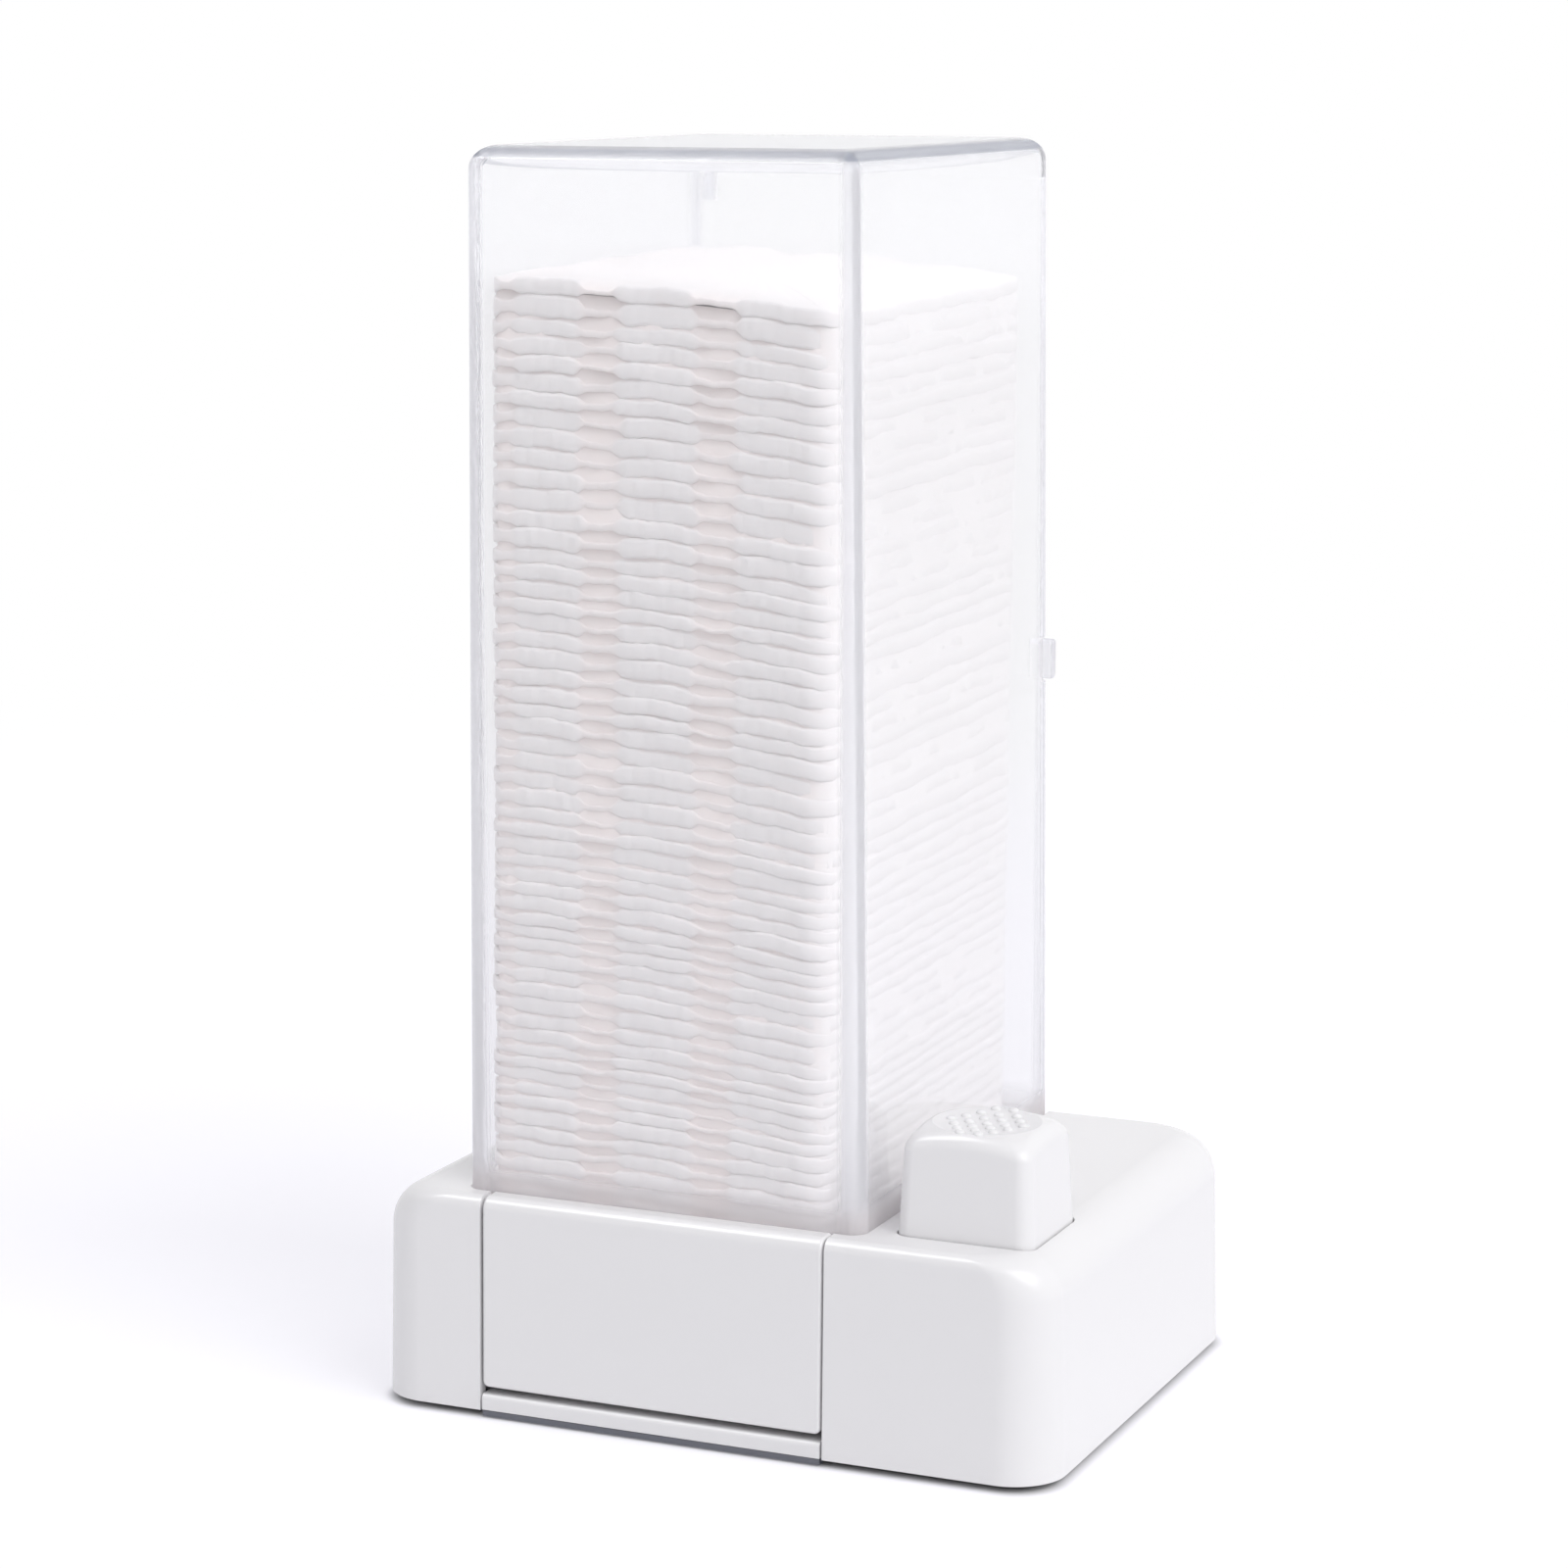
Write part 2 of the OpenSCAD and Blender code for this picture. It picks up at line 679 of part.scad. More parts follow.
// Outline with a domed top and round top edges; above the base its sides lean in
module crown_profile(half, bottom, top) {
    centre = top - button_crown_r;
    slope = tan(button_draft);
    across = half - (centre - base_h) * slope - button_top_fillet / cos(button_draft);
    reach = button_crown_r - button_top_fillet;
    whole = 1 + slope * slope;
    rise = (across * slope + sqrt(whole * reach * reach - across * across)) / whole;
    x = across - rise * slope;
    z = centre + rise;
    grow = button_crown_r / reach;
    side = [x + button_top_fillet * cos(button_draft), z + button_top_fillet * sin(button_draft)];
    crest = [x * grow, centre + rise * grow];
    polygon([[-half, bottom], [half, bottom], [half, base_h], side, crest,
        [-crest[0], crest[1]], [-side[0], side[1]], [-half, base_h]]);
    for (way = [-1, 1]) translate([way * x, z]) circle(button_top_fillet);
    intersection() {
        translate([0, centre]) circle(button_crown_r, $fn = 96);
        translate([-crest[0], crest[1] - 0.5]) square([2 * crest[0], button_crown_r]);
    }
}

// Button-shaped block moved inwards by inset: upright in the base and tapered above it
module tapered_block(inset, top) {
    half_w = button_w / 2 - inset;
    half_d = button_d / 2 - inset;
    lean = (top - base_h) * tan(button_draft);
    corner = max(button_corner_r - inset, lean + 0.1);
    translate([button_x, button_y, 0]) {
        translate([0, 0, button_skirt_z]) linear_extrude(base_h - button_skirt_z)
            round_rect(2 * half_w, 2 * half_d, corner);
        along_y(2 * (half_d - corner)) polygon([[-half_w, base_h], [half_w, base_h],
            [half_w - lean, top], [-half_w + lean, top]]);
        along_x(2 * (half_w - corner)) polygon([[-half_d, base_h], [half_d, base_h],
            [half_d - lean, top], [-half_d + lean, top]]);
        for (x = [-1, 1], y = [-1, 1])
            translate([x * (half_w - corner), y * (half_d - corner), base_h])
                cylinder(h = top - base_h, r1 = corner, r2 = corner - lean);
    }
}

// The button's outer form, with its domed top and round edges
module button_block() {
    intersection() {
        tapered_block(0, button_top);
        translate([button_x, button_y, 0])
            along_y(2 * button_d) crown_profile(button_w / 2, button_skirt_z, button_top);
        translate([button_x, button_y, 0])
            along_x(2 * button_w) crown_profile(button_d / 2, button_skirt_z, button_top);
    }
}

// Places of the grip dots: rows of 2, 3, 4, 5, 4, 3 and 2
dot_places = [for (row = [-3 : 3]) let (count = 5 - abs(row)) for (i = [0 : count - 1])
    [(i - (count - 1) / 2) * dot_pitch, row * dot_pitch * sin(60)]];

module button_cap() {
    bowl_r = (dish_r * dish_r + dish_depth * dish_depth) / (2 * dish_depth);
    dot_rise = 0.45;
    notch_top = idler_z + idler_r + addendum + button_travel + 0.4;
    rim_z = button_top - button_crown_r + sqrt(button_crown_r * button_crown_r - dish_r * dish_r);
    bowl_z = rim_z - dish_depth + bowl_r;
    roof = rim_z - dish_depth - button_wall;
    dot_foot = 0.8;
    rack_rib_z = base_h + button_stem_rise;
    color(white) difference() {
        union() {
            difference() {
                button_block();
                translate([0, 0, -eps]) tapered_block(button_wall, roof);
                translate([button_x, button_y, bowl_z]) sphere(bowl_r, $fn = 96);
            }
            for (p = dot_places)
                translate([button_x + p[0], button_y + p[1],
                    bowl_z - sqrt(bowl_r * bowl_r - p[0] * p[0] - p[1] * p[1]) - dot_foot])
                    cylinder(h = dot_foot + dot_rise, r = dot_r, $fn = 24);
            for (y = [button_front - button_flange, button_rear - eps])
                span([button_left + button_flange_inset, y, button_skirt_z],
                    [button_right - button_flange_inset, y + button_flange + eps,
                    button_skirt_z + button_flange_t]);
            intersection() {
                tapered_block(button_wall / 2, roof + button_wall / 2);
                translate([post_x, post_y, stem_z]) cylinder(h = button_top, r = stem_r);
            }
            intersection() {
                tapered_block(button_wall / 2, roof + button_wall / 2);
                span([button_left, rack_pitch_y - dedendum - rack_back - 2, rack_rib_z],
                    [rack_x + rack_w + 1.5, button_rear, button_top]);
            }
        }
        span([rack_x - 0.6, button_rear - button_wall - 0.5, button_skirt_z - 1],
            [rack_x + rack_w + 0.4, button_rear + button_flange + 1, notch_top]);
        translate([post_x, post_y, stem_z - 1])
            cylinder(h = post_top + button_travel + 0.1 - stem_z + 1, r = post_r + stem_play);
    }
}

module button_rack() {
    low = tooth_pitch / 4 - dedendum * tan(pressure) - 0.02;
    high = button_travel + 3.2;
    stem_top = base_h + button_stem_rise;
    color(gear_white) {
        translate([rack_x + rack_w / 2, rack_pitch_y, idler_z]) along_x(rack_w)
            mirror([1, -1]) rack_outline(low, high, rack_back);
        span([rack_x, rack_pitch_y - dedendum - rack_back, idler_z + high - 0.5],
            [rack_x + rack_w, rack_pitch_y - dedendum, stem_top]);
    }
}

module guide_post() {
    color(gear_white) translate([post_x, post_y, plate_top]) {
        cylinder(h = post_flange_t, r = post_flange_r);
        cylinder(h = post_top - plate_top, r = post_r);
    }
}

// Helical return spring: one tube, rings of points along the coil
spring_low = spring_seat_z + spring_wire / 2;
spring_high = stem_z - spring_wire / 2;
spring_count = spring_turns * spring_rings;
spring_lean = atan2((spring_high - spring_low) / spring_turns, 2 * PI * spring_r);
function spring_point(i, k) = let (
        turn = 360 * i / spring_rings,
        around = 360 * k / spring_sides,
        out = spring_r + spring_wire / 2 * cos(around),
        up = spring_wire / 2 * sin(around)
    ) [out * cos(turn) + up * sin(spring_lean) * sin(turn),
        out * sin(turn) - up * sin(spring_lean) * cos(turn),
        spring_low + (spring_high - spring_low) * i / spring_count + up * cos(spring_lean)];
spring_gap = (spring_high - spring_low) / spring_turns * cos(spring_lean) - spring_wire;
echo(str("least gap between the turns of the return spring, mm: ", spring_gap));

module button_spring() {
    sides = spring_sides;
    points = [for (i = [0 : spring_count], k = [0 : sides - 1]) spring_point(i, k)];
    skin = [for (i = [0 : spring_count - 1], k = [0 : sides - 1])
        let (a = i * sides + k, b = i * sides + (k + 1) % sides)
            each [[a, b, a + sides], [b, b + sides, a + sides]]];
    last = spring_count * sides;
    ends = [for (k = [1 : sides - 2]) each [[0, k + 1, k], [last, last + k, last + k + 1]]];
    color(steel) translate([post_x, post_y, 0]) polyhedron(points, concat(skin, ends));
}

module gear_bracket() {
    right_inner = bracket_right_x;
    right_outer = bracket_right_x + bracket_t;
    color(white) difference() {
        union() {
            span([bracket_x, bracket_front, plate_top],
                [bracket_x + bracket_t, arm_y - tray_travel - sweep_play, bracket_top]);
            span([bracket_x, bracket_front, tray_top + 2],
                [bracket_x + bracket_t, bracket_rear, bracket_top]);
            span([right_inner, wheel_y - bracket_half, plate_top],
                [right_outer, wheel_y + bracket_half, bracket_top]);
            span([right_inner, wheel_y - bracket_half, plate_top],
                [right_outer + bracket_foot_w, wheel_y + bracket_half, plate_top + bracket_t]);
            span([bracket_x, wheel_y - 5, bracket_top - bracket_roof_t],
                [right_outer, bracket_rear, bracket_top]);
        }
        rod_x(bracket_x - 1, right_outer + 1, wheel_y, wheel_z, axle_r + 0.02);
        rod_x(bracket_x - 1, bracket_x + bracket_t + 1, idler_y, idler_z, axle_r + 0.02);
        for (y = [-1, 1])
            translate([right_outer + bracket_foot_w / 2, wheel_y + y * bracket_screw_gap, 0])
                cylinder(h = base_h, r = screw_r + screw_hole_play);
    }
}

module bracket_screws() {
    x = bracket_right_x + bracket_t + bracket_foot_w / 2;
    low = plate_z + 1;
    head_z = plate_top + bracket_t;
    color(steel) for (y = [-1, 1]) translate([x, wheel_y + y * bracket_screw_gap, 0]) {
        translate([0, 0, low]) cylinder(h = head_z - low + 0.5, r = screw_r);
        translate([0, 0, head_z]) cylinder(h = screw_head_t, r = screw_head_r);
    }
}

// Half angle of a gear tooth at a radius, on an involute flank
function involute(angle) = tan(angle) * 180 / PI - angle;
function half_tooth(teeth, radius) = let (
        pitch_r = teeth * gear_module / 2,
        root = pitch_r * cos(pressure),
        reach = max(radius, root)
    ) 90 / teeth - backlash / pitch_r * 180 / PI + involute(pressure) - involute(acos(root / reach));

// Outline of a spur gear with a tooth centred on the angle phase
module gear_outline(teeth, phase) {
    pitch_r = teeth * gear_module / 2;
    root = pitch_r - dedendum;
    tip = pitch_r + addendum;
    start = max(pitch_r * cos(pressure), root + 0.05);
    steps = 4;
    radii = concat([root], [for (i = [0 : steps]) start + (tip - start) * i / steps]);
    last = len(radii) - 1;
    polygon([for (n = [0 : teeth - 1]) let (at = phase + n * 360 / teeth) each concat(
        [for (i = [0 : last]) let (a = at - half_tooth(teeth, radii[i]))
            [radii[i] * cos(a), radii[i] * sin(a)]],
        [for (i = [last : -1 : 0]) let (a = at + half_tooth(teeth, radii[i]))
            [radii[i] * cos(a), radii[i] * sin(a)]])]);
}

// A gear about an axle along X, from x0, w wide
module gear(teeth, phase, x0, w, y, z)
    translate([x0 + w / 2, y, z]) along_x(w) gear_outline(teeth, phase);

module idler_gear() {
    color(gear_white) difference() {
        union() {
            gear(idler_teeth, idler_phase, idler_x, idler_w, idler_y, idler_z);
            rod_x(hub_x, idler_x + eps, idler_y, idler_z, hub_r);
        }
        rod_x(hub_x - 1, idler_x + idler_w + 1, idler_y, idler_z, axle_r + axle_play);
    }
}

module idler_axle() {
    color(steel) {
        rod_x(bracket_x - head_t, bracket_x, idler_y, idler_z, head_r);
        rod_x(bracket_x - head_t, idler_x + idler_w + 0.1 + head_t, idler_y, idler_z, axle_r);
        rod_x(idler_x + idler_w + 0.1, idler_x + idler_w + 0.1 + head_t, idler_y, idler_z, head_r);
    }
}

module drive_gear() {
    color(gear_white) difference() {
        union() {
            gear(pinion_teeth, pinion_phase, idler_x, wheel_x - idler_x + eps, wheel_y, wheel_z);
            gear(wheel_teeth, wheel_phase, wheel_x, wheel_w, wheel_y, wheel_z);
            rod_x(hub_x, idler_x + eps, wheel_y, wheel_z, hub_r);
            rod_x(wheel_x + wheel_w - eps, wheel_x + wheel_w + hub_w, wheel_y, wheel_z, hub_r);
        }
        rod_x(hub_x - 1, wheel_x + wheel_w + hub_w + 1, wheel_y, wheel_z, axle_r + axle_play);
    }
}

module drive_axle() {
    right = bracket_right_x + bracket_t;
    color(steel) {
        rod_x(bracket_x - head_t, bracket_x, wheel_y, wheel_z, head_r);
        rod_x(bracket_x - head_t, right + head_t, wheel_y, wheel_z, axle_r);
        rod_x(right, right + head_t, wheel_y, wheel_z, head_r);
    }
}

// Space between the tower's two leaning walls, open to front and rear
module between_walls(inset) {
    reach = 2 * tower_w;
    intersection_for (side = [-1, 1])
        translate([bay_x + side * (tower_w / 2 - inset), 0, base_h])
            rotate([0, -side * tower_draft, 0])
                translate([side > 0 ? -reach : 0, -base_d, -base_h])
                    cube([reach, 2 * base_d, 2 * tower_top]);
}

module tower_shell() {
    door_low = door_z - door_play;
    door_high = door_top + door_play;
    right_inner = bay_x + tower_inner_w / 2;
    color(clear) difference() {
        union() {
            difference() {
                tower_block(0, tower_seat_z);
                tower_block(tower_wall, tower_seat_z - 1);
            }
            intersection() {
                tower_block(tower_wall / 2, tower_seat_z);
                span([right_inner - stop_in - taper_top, tower_inner_rear - door_gap - stop_t,
                    door_z + stop_end],
                    [bay_x + tower_w, tower_inner_rear - door_gap, door_top - stop_end]);
            }
            translate([hinge_x, hinge_y, tower_seat_z])
                cylinder(h = door_low - tower_seat_z, r = barrel_r);
            translate([hinge_x, hinge_y, door_high])
                cylinder(h = tower_top - tower_wall / 2 - door_high, r = barrel_r);
        }
        intersection() {
            between_walls(tower_wall);
            span([hinge_x - barrel_r - hinge_gap, tower_inner_rear - door_gap, door_low],
                [base_w, base_d, door_high]);
        }
        span([bay_x, tower_rear - tab_d - tab_play, tab_z - tab_play],
            [base_w, base_d, tab_z + tab_h + tab_play]);
        pin_bores(pin_r + 0.02);
    }
}

// Bores for the two hinge pins of the rear door
module pin_bores(r) {
    for (z = [door_z - door_play - pin_len - 0.2, door_top - pin_len - 0.2])
        translate([hinge_x, hinge_y, z]) cylinder(h = 2 * pin_len + door_play + 0.4, r = r);
}

module rear_door() {
    color(clear) difference() {
        union() {
            intersection() {
                between_walls(tower_wall + door_play);
                span([hinge_x, tower_rear - door_t, door_z], [base_w, tower_rear, door_top]);
            }
            translate([hinge_x, hinge_y, door_z]) cylinder(h = door_top - door_z, r = barrel_r);
            intersection() {
                between_walls(-tab_out);
                translate([bay_x + tower_w / 2 - tower_wall - 3, tower_rear - tab_d / 2,
                    tab_z + tab_h / 2]) rotate([90, 0, 90]) linear_extrude(base_w)
                        round_rect(tab_d, tab_h, 0.9);
            }
        }
        pin_bores(pin_r + pin_play);
    }
}

module door_pins() {
    color(steel) for (z = [door_z - door_play - pin_len, door_top - pin_len])
        translate([hinge_x, hinge_y, z]) cylinder(h = 2 * pin_len + door_play, r = pin_r);
}

base_shell();
front_panel();
bottom_plate();
feet();
plate_screws();
pad_well();
tray_rails();
tray();
tray_grips();
tray_rack();
rack_screw();
lowest_pad();
pad_stack();
button_cap();
button_rack();
guide_post();
button_spring();
gear_bracket();
bracket_screws();
idler_gear();
idler_axle();
drive_gear();
drive_axle();
tower_shell();
rear_door();
door_pins();
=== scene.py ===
"""A push-button cotton pad holder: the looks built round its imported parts.

Lengths in the code are millimetres until solid() puts them into a mesh, and the frame is
the part's own: +Z up, the front panel towards -Y, the button towards +X.
"""
import json
import math

import bpy
import numpy as np
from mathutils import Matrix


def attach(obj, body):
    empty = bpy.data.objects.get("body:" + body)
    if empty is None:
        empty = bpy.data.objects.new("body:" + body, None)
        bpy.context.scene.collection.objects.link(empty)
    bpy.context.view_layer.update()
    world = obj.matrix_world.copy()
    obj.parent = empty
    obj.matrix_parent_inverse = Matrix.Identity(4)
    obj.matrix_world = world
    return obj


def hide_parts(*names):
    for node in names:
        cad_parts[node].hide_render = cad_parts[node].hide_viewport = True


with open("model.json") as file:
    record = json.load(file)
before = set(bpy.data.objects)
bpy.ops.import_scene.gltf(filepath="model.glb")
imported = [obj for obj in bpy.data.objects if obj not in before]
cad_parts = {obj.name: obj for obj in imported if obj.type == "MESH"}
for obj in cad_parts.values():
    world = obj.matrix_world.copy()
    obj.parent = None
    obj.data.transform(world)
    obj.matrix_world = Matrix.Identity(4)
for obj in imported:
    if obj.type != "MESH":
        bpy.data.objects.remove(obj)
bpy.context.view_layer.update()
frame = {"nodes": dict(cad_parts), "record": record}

MM = 0.001
NODES = frame["nodes"]
bpy.context.scene.view_settings.view_transform = "Standard"

# The holder's own sizes, as its parts have them
BASE_W, BASE_D, BASE_H, BASE_WALL = 117.0, 91.0, 36.5, 2.0
BASE_LEAN, TOWER_LEAN = math.tan(math.radians(1.3)), math.tan(math.radians(0.6))
BAY_X, BAY_LEFT, BAY_RIGHT = -8.75, -38.75, 21.25
TOWER_W, TOWER_FRONT, TOWER_REAR, TOWER_TOP, TOWER_WALL = 69.0, -40.4, 43.7, 203.0, 2.0
SEAT_Z, SLOT_TOP, SEAM, TOWER_PLAY = 31.0, 5.15, 0.45, 0.25
TOWER_Y, TOWER_CORNER = (TOWER_FRONT + TOWER_REAR) / 2, 2.5
BUTTON_X, BUTTON_Y, BUTTON_W, BUTTON_D, BUTTON_TOP = 41.2, -26.75, 22.5, 21.5, 54.3
BUTTON_CORNER, BUTTON_CROWN, BUTTON_LEAN = 2.6, 36.0, math.tan(math.radians(2.5))
BUTTON_WALL, DISH_R, DISH_DEPTH, DOT_PITCH, DOT_R, DOT_RISE = 1.5, 8.6, 0.5, 3.0, 0.85, 0.5
POST_X, POST_Y, SKIRT_Z = 46.1, -27.55, 32.7
HINGE_X, HINGE_Y, DOOR_LOW, DOOR_HIGH, DOOR_PLAY = -37.28, 42.0, 37.3, 196.0, 0.3
BARREL_R, PIN_HOLE_R, PIN_HOLE_DEPTH = 1.7, 0.87, 4.2
PAD_W, PAD_D, PAD_Y, PAD_COUNT = 59.0, 77.4, 0.8, 70


# Camera
def add_camera():
    """The camera, at the photograph's viewing angle."""
    data = bpy.data.cameras.new("camera")
    data.sensor_width = 36.0
    data.lens = 95.75
    data.clip_start = 0.01
    data.clip_end = 20.0
    camera = bpy.data.objects.new("camera", data)
    camera.location = (0.26575, -0.61591, 0.22013)
    camera.rotation_euler = (math.radians(79.78), 0.0, math.radians(23.74))
    bpy.context.scene.collection.objects.link(camera)
    bpy.context.scene.camera = camera


add_camera()


# Shapes that the pieces are made of
def ring(half_w, half_d, r, per_corner=10, middle=(0.0, 0.0), between=0):
    """Rectangles with round corners, one per level, anticlockwise from the front right.

    Each corner is a quarter circle of radius r about a centre that lies r inside both
    sides, and each side gets a number of even steps between its corners. half_w, half_d
    and r hold one value per level; the result is levels x points x 2.
    """
    half_w, half_d, r = np.broadcast_arrays(*np.atleast_1d(half_w, half_d, r))
    turn = np.linspace(0, np.pi / 2, per_corner + 1)
    corners = []
    for k, (sx, sy) in enumerate(((1, -1), (1, 1), (-1, 1), (-1, -1))):
        at = turn + (k - 1) * np.pi / 2
        x = middle[0] + (sx * (half_w - r))[:, None] + r[:, None] * np.cos(at)
        y = middle[1] + (sy * (half_d - r))[:, None] + r[:, None] * np.sin(at)
        corners.append(np.stack([x, y], -1))
    t = np.linspace(0, 1, between + 2)[1:-1, None]
    following = corners[1:] + corners[:1]
    sides = [a[:, -1:] + t * (b[:, :1] - a[:, -1:]) for a, b in zip(corners, following)]
    return np.concatenate([part for pair in zip(corners, sides) for part in pair], 1)


def circle(r, points=48, middle=(0.0, 0.0)):
    """Circles of the radii r, one per level, anticlockwise about their middle."""
    at = np.linspace(0, 2 * np.pi, points, endpoint=False)
    r = np.atleast_1d(r)[:, None]
    return np.stack([middle[0] + r * np.cos(at), middle[1] + r * np.sin(at)], -1)


def stacked(rings, z):
    """Flat rings (levels x points x 2) set at the heights z, as levels x points x 3."""
    z = np.broadcast_to(np.asarray(z, float)[:, None], rings.shape[:2])
    return np.concatenate([rings, z[..., None]], -1)


def loft(levels):
    """Vertices and faces of the closed skin through levels x points x 3, from low to high.

    Neighbouring rings are joined point to point by four-sided faces, and the first and
    the last ring are closed by one flat face each.
    """
    count, points = levels.shape[:2]
    index = np.arange(count * points).reshape(count, points)
    a, b = index[:-1], np.roll(index[:-1], -1, 1)
    d, c = index[1:], np.roll(index[1:], -1, 1)
    quads = np.stack([a, b, c, d], -1).reshape(-1, 4).tolist()
    return levels.reshape(-1, 3), quads + [index[0][::-1].tolist(), index[-1].tolist()]


def solid(name, *parts):
    """One object from several (vertices, faces) skins in millimetres."""
    verts, faces, offset = [], [], 0
    for v, f in parts:
        verts.append(v)
        faces += [[i + offset for i in face] for face in f]
        offset += len(v)
    mesh = bpy.data.meshes.new(name)
    mesh.from_pydata(np.concatenate(verts) * MM, [], faces)
    mesh.update()
    obj = bpy.data.objects.new(name, mesh)
    bpy.context.scene.collection.objects.link(obj)
    return obj


def block(low, high, lean=0.0):
    """A box from corner low to corner high, whose right side may lean inwards by that
    much per millimetre of height above the base's top."""
    (x0, y0, z0), (x1, y1, z1) = low, high
    z = np.array([z0, z1])
    left = np.full(2, float(x0))
    right = x1 - (z - BASE_H) * lean
    flat = np.stack([np.stack([left, right, right, left], -1),
                     np.broadcast_to([y0, y0, y1, y1], (2, 4))], -1)
    return loft(stacked(flat, z))


def rod(x, y, z0, z1, r, points=32):
    """An upright cylinder."""
    return loft(stacked(circle([r, r], points, (x, y)), [z0, z1]))


def carry_out(obj):
    """Carries the object's modifiers out on its mesh."""
    graph = bpy.context.evaluated_depsgraph_get()
    mesh = bpy.data.meshes.new_from_object(obj.evaluated_get(graph))
    obj.modifiers.clear()
    old, obj.data = obj.data, mesh
    bpy.data.meshes.remove(old)
    mesh.name = obj.name


def combine(obj, how, *parts):
    """Cuts, joins or intersects obj with each closed skin in turn; how is DIFFERENCE,
    UNION or INTERSECT."""
    tools = [solid("tool", part) for part in parts]
    for tool in tools:
        cut = obj.modifiers.new("cut", "BOOLEAN")
        cut.operation, cut.solver, cut.object = how, "EXACT", tool
    carry_out(obj)
    for tool in tools:
        mesh = tool.data
        bpy.data.objects.remove(tool)
        bpy.data.meshes.remove(mesh)


def finish_edges(obj, width=0.0, chosen=None, angle=30.0, segments=3):
    """Rounds the chosen sharp edges by width and shades smoothly below angle.

    chosen takes the middles of all edges in millimetres, as an array, and returns which
    of them are rounded where two faces meet at more than 40 degrees.
    """
    mesh = obj.data
    if width:
        edges = np.empty(len(mesh.edges) * 2, np.int32)
        mesh.edges.foreach_get("vertices", edges)
        points = np.empty(len(mesh.vertices) * 3, np.float32)
        mesh.vertices.foreach_get("co", points)
        middles = points.reshape(-1, 3)[edges.reshape(-1, 2)].mean(1) / MM
        wanted = chosen(middles) & sharp_edges(mesh, 40.0)
        weights = mesh.attributes.new("bevel_weight_edge", "FLOAT", "EDGE")
        weights.data.foreach_set("value", wanted.astype(np.float32))
        bevel = obj.modifiers.new("round", "BEVEL")
        bevel.width, bevel.segments = width * MM, segments
        bevel.limit_method = "WEIGHT"
        bevel.use_clamp_overlap = True
        carry_out(obj)
        mesh = obj.data
    mesh.shade_smooth()
    mesh.set_sharp_from_angle(angle=math.radians(angle))
    weighted = obj.modifiers.new("even", "WEIGHTED_NORMAL")
    weighted.keep_sharp = True
    weighted.weight = 90


def sharp_edges(mesh, degrees):
    """Which edges have two faces that meet at more than this angle."""
    normals = np.empty(len(mesh.polygons) * 3, np.float32)
    mesh.polygons.foreach_get("normal", normals)
    normals = normals.reshape(-1, 3)
    starts = np.empty(len(mesh.polygons), np.int32)
    totals = np.empty(len(mesh.polygons), np.int32)
    mesh.polygons.foreach_get("loop_start", starts)
    mesh.polygons.foreach_get("loop_total", totals)
    loops = np.empty(len(mesh.loops), np.int32)
    mesh.loops.foreach_get("edge_index", loops)
    owner = np.repeat(np.arange(len(starts)), totals)
    order = np.argsort(loops, kind="stable")
    edge, face = loops[order], owner[order]
    pair = np.flatnonzero(edge[:-1] == edge[1:])
    cosine = (normals[face[pair]] * normals[face[pair + 1]]).sum(-1)
    found = np.zeros(len(mesh.edges), bool)
    found[edge[pair]] = cosine < math.cos(math.radians(degrees))
    return found


# Materials
def new_group(name, inputs, outputs):
    """A shader node group with named inputs, given as (name, kind, value), and outputs."""
    tree = bpy.data.node_groups.new(name, "ShaderNodeTree")
    for label, kind, value in inputs:
        socket = tree.interface.new_socket(label, in_out="INPUT",
                                           socket_type="NodeSocket" + kind)
        socket.default_value = value
    for label, kind in outputs:
        tree.interface.new_socket(label, in_out="OUTPUT", socket_type="NodeSocket" + kind)
    return tree, tree.nodes.new("NodeGroupInput"), tree.nodes.new("NodeGroupOutput")


def add(tree, kind, links=None, **values):
    """A node of that kind, with its sockets set to values or fed by links."""
    node = tree.nodes.new(kind)
    for key, value in values.items():
        if hasattr(node, key):
            setattr(node, key, value)
        else:
            node.inputs[key.replace("_", " ")].default_value = value
    for socket, source in (links or {}).items():
        tree.links.new(source, node.inputs[socket])
    return node


def link(tree, *pairs):
    """Joins each (output, input) pair."""
    for source, socket in pairs:
        tree.links.new(source, socket)


def feed(tree, node, values):
    """Sets the node's sockets in turn to numbers and triples, or feeds them by outputs."""
    for socket, value in zip(node.inputs, values):
        if isinstance(value, (int, float, tuple)):
            socket.default_value = value
        else:
            tree.links.new(value, socket)


def calc(tree, operation, *values, clamp=False):
    """The result of one sum on numbers and outputs."""
    node = add(tree, "ShaderNodeMath", operation=operation, use_clamp=clamp)
    feed(tree, node, values)
    return node.outputs[0]


def vector_calc(tree, operation, *values):
    """The result of one sum on triples and outputs."""
    node = add(tree, "ShaderNodeVectorMath", operation=operation)
    feed(tree, node, values)
    return node.outputs["Value" if operation == "LENGTH" else "Vector"]


def span(tree, value, low, high, at_low, at_high, how="SMOOTHSTEP"):
    """The value mapped from low..high to at_low..at_high, and held outside."""
    node = add(tree, "ShaderNodeMapRange", {"Value": value}, interpolation_type=how)
    for label, number in (("From Min", low), ("From Max", high), ("To Min", at_low),
                          ("To Max", at_high)):
        node.inputs[label].default_value = number
    return node.outputs[0]


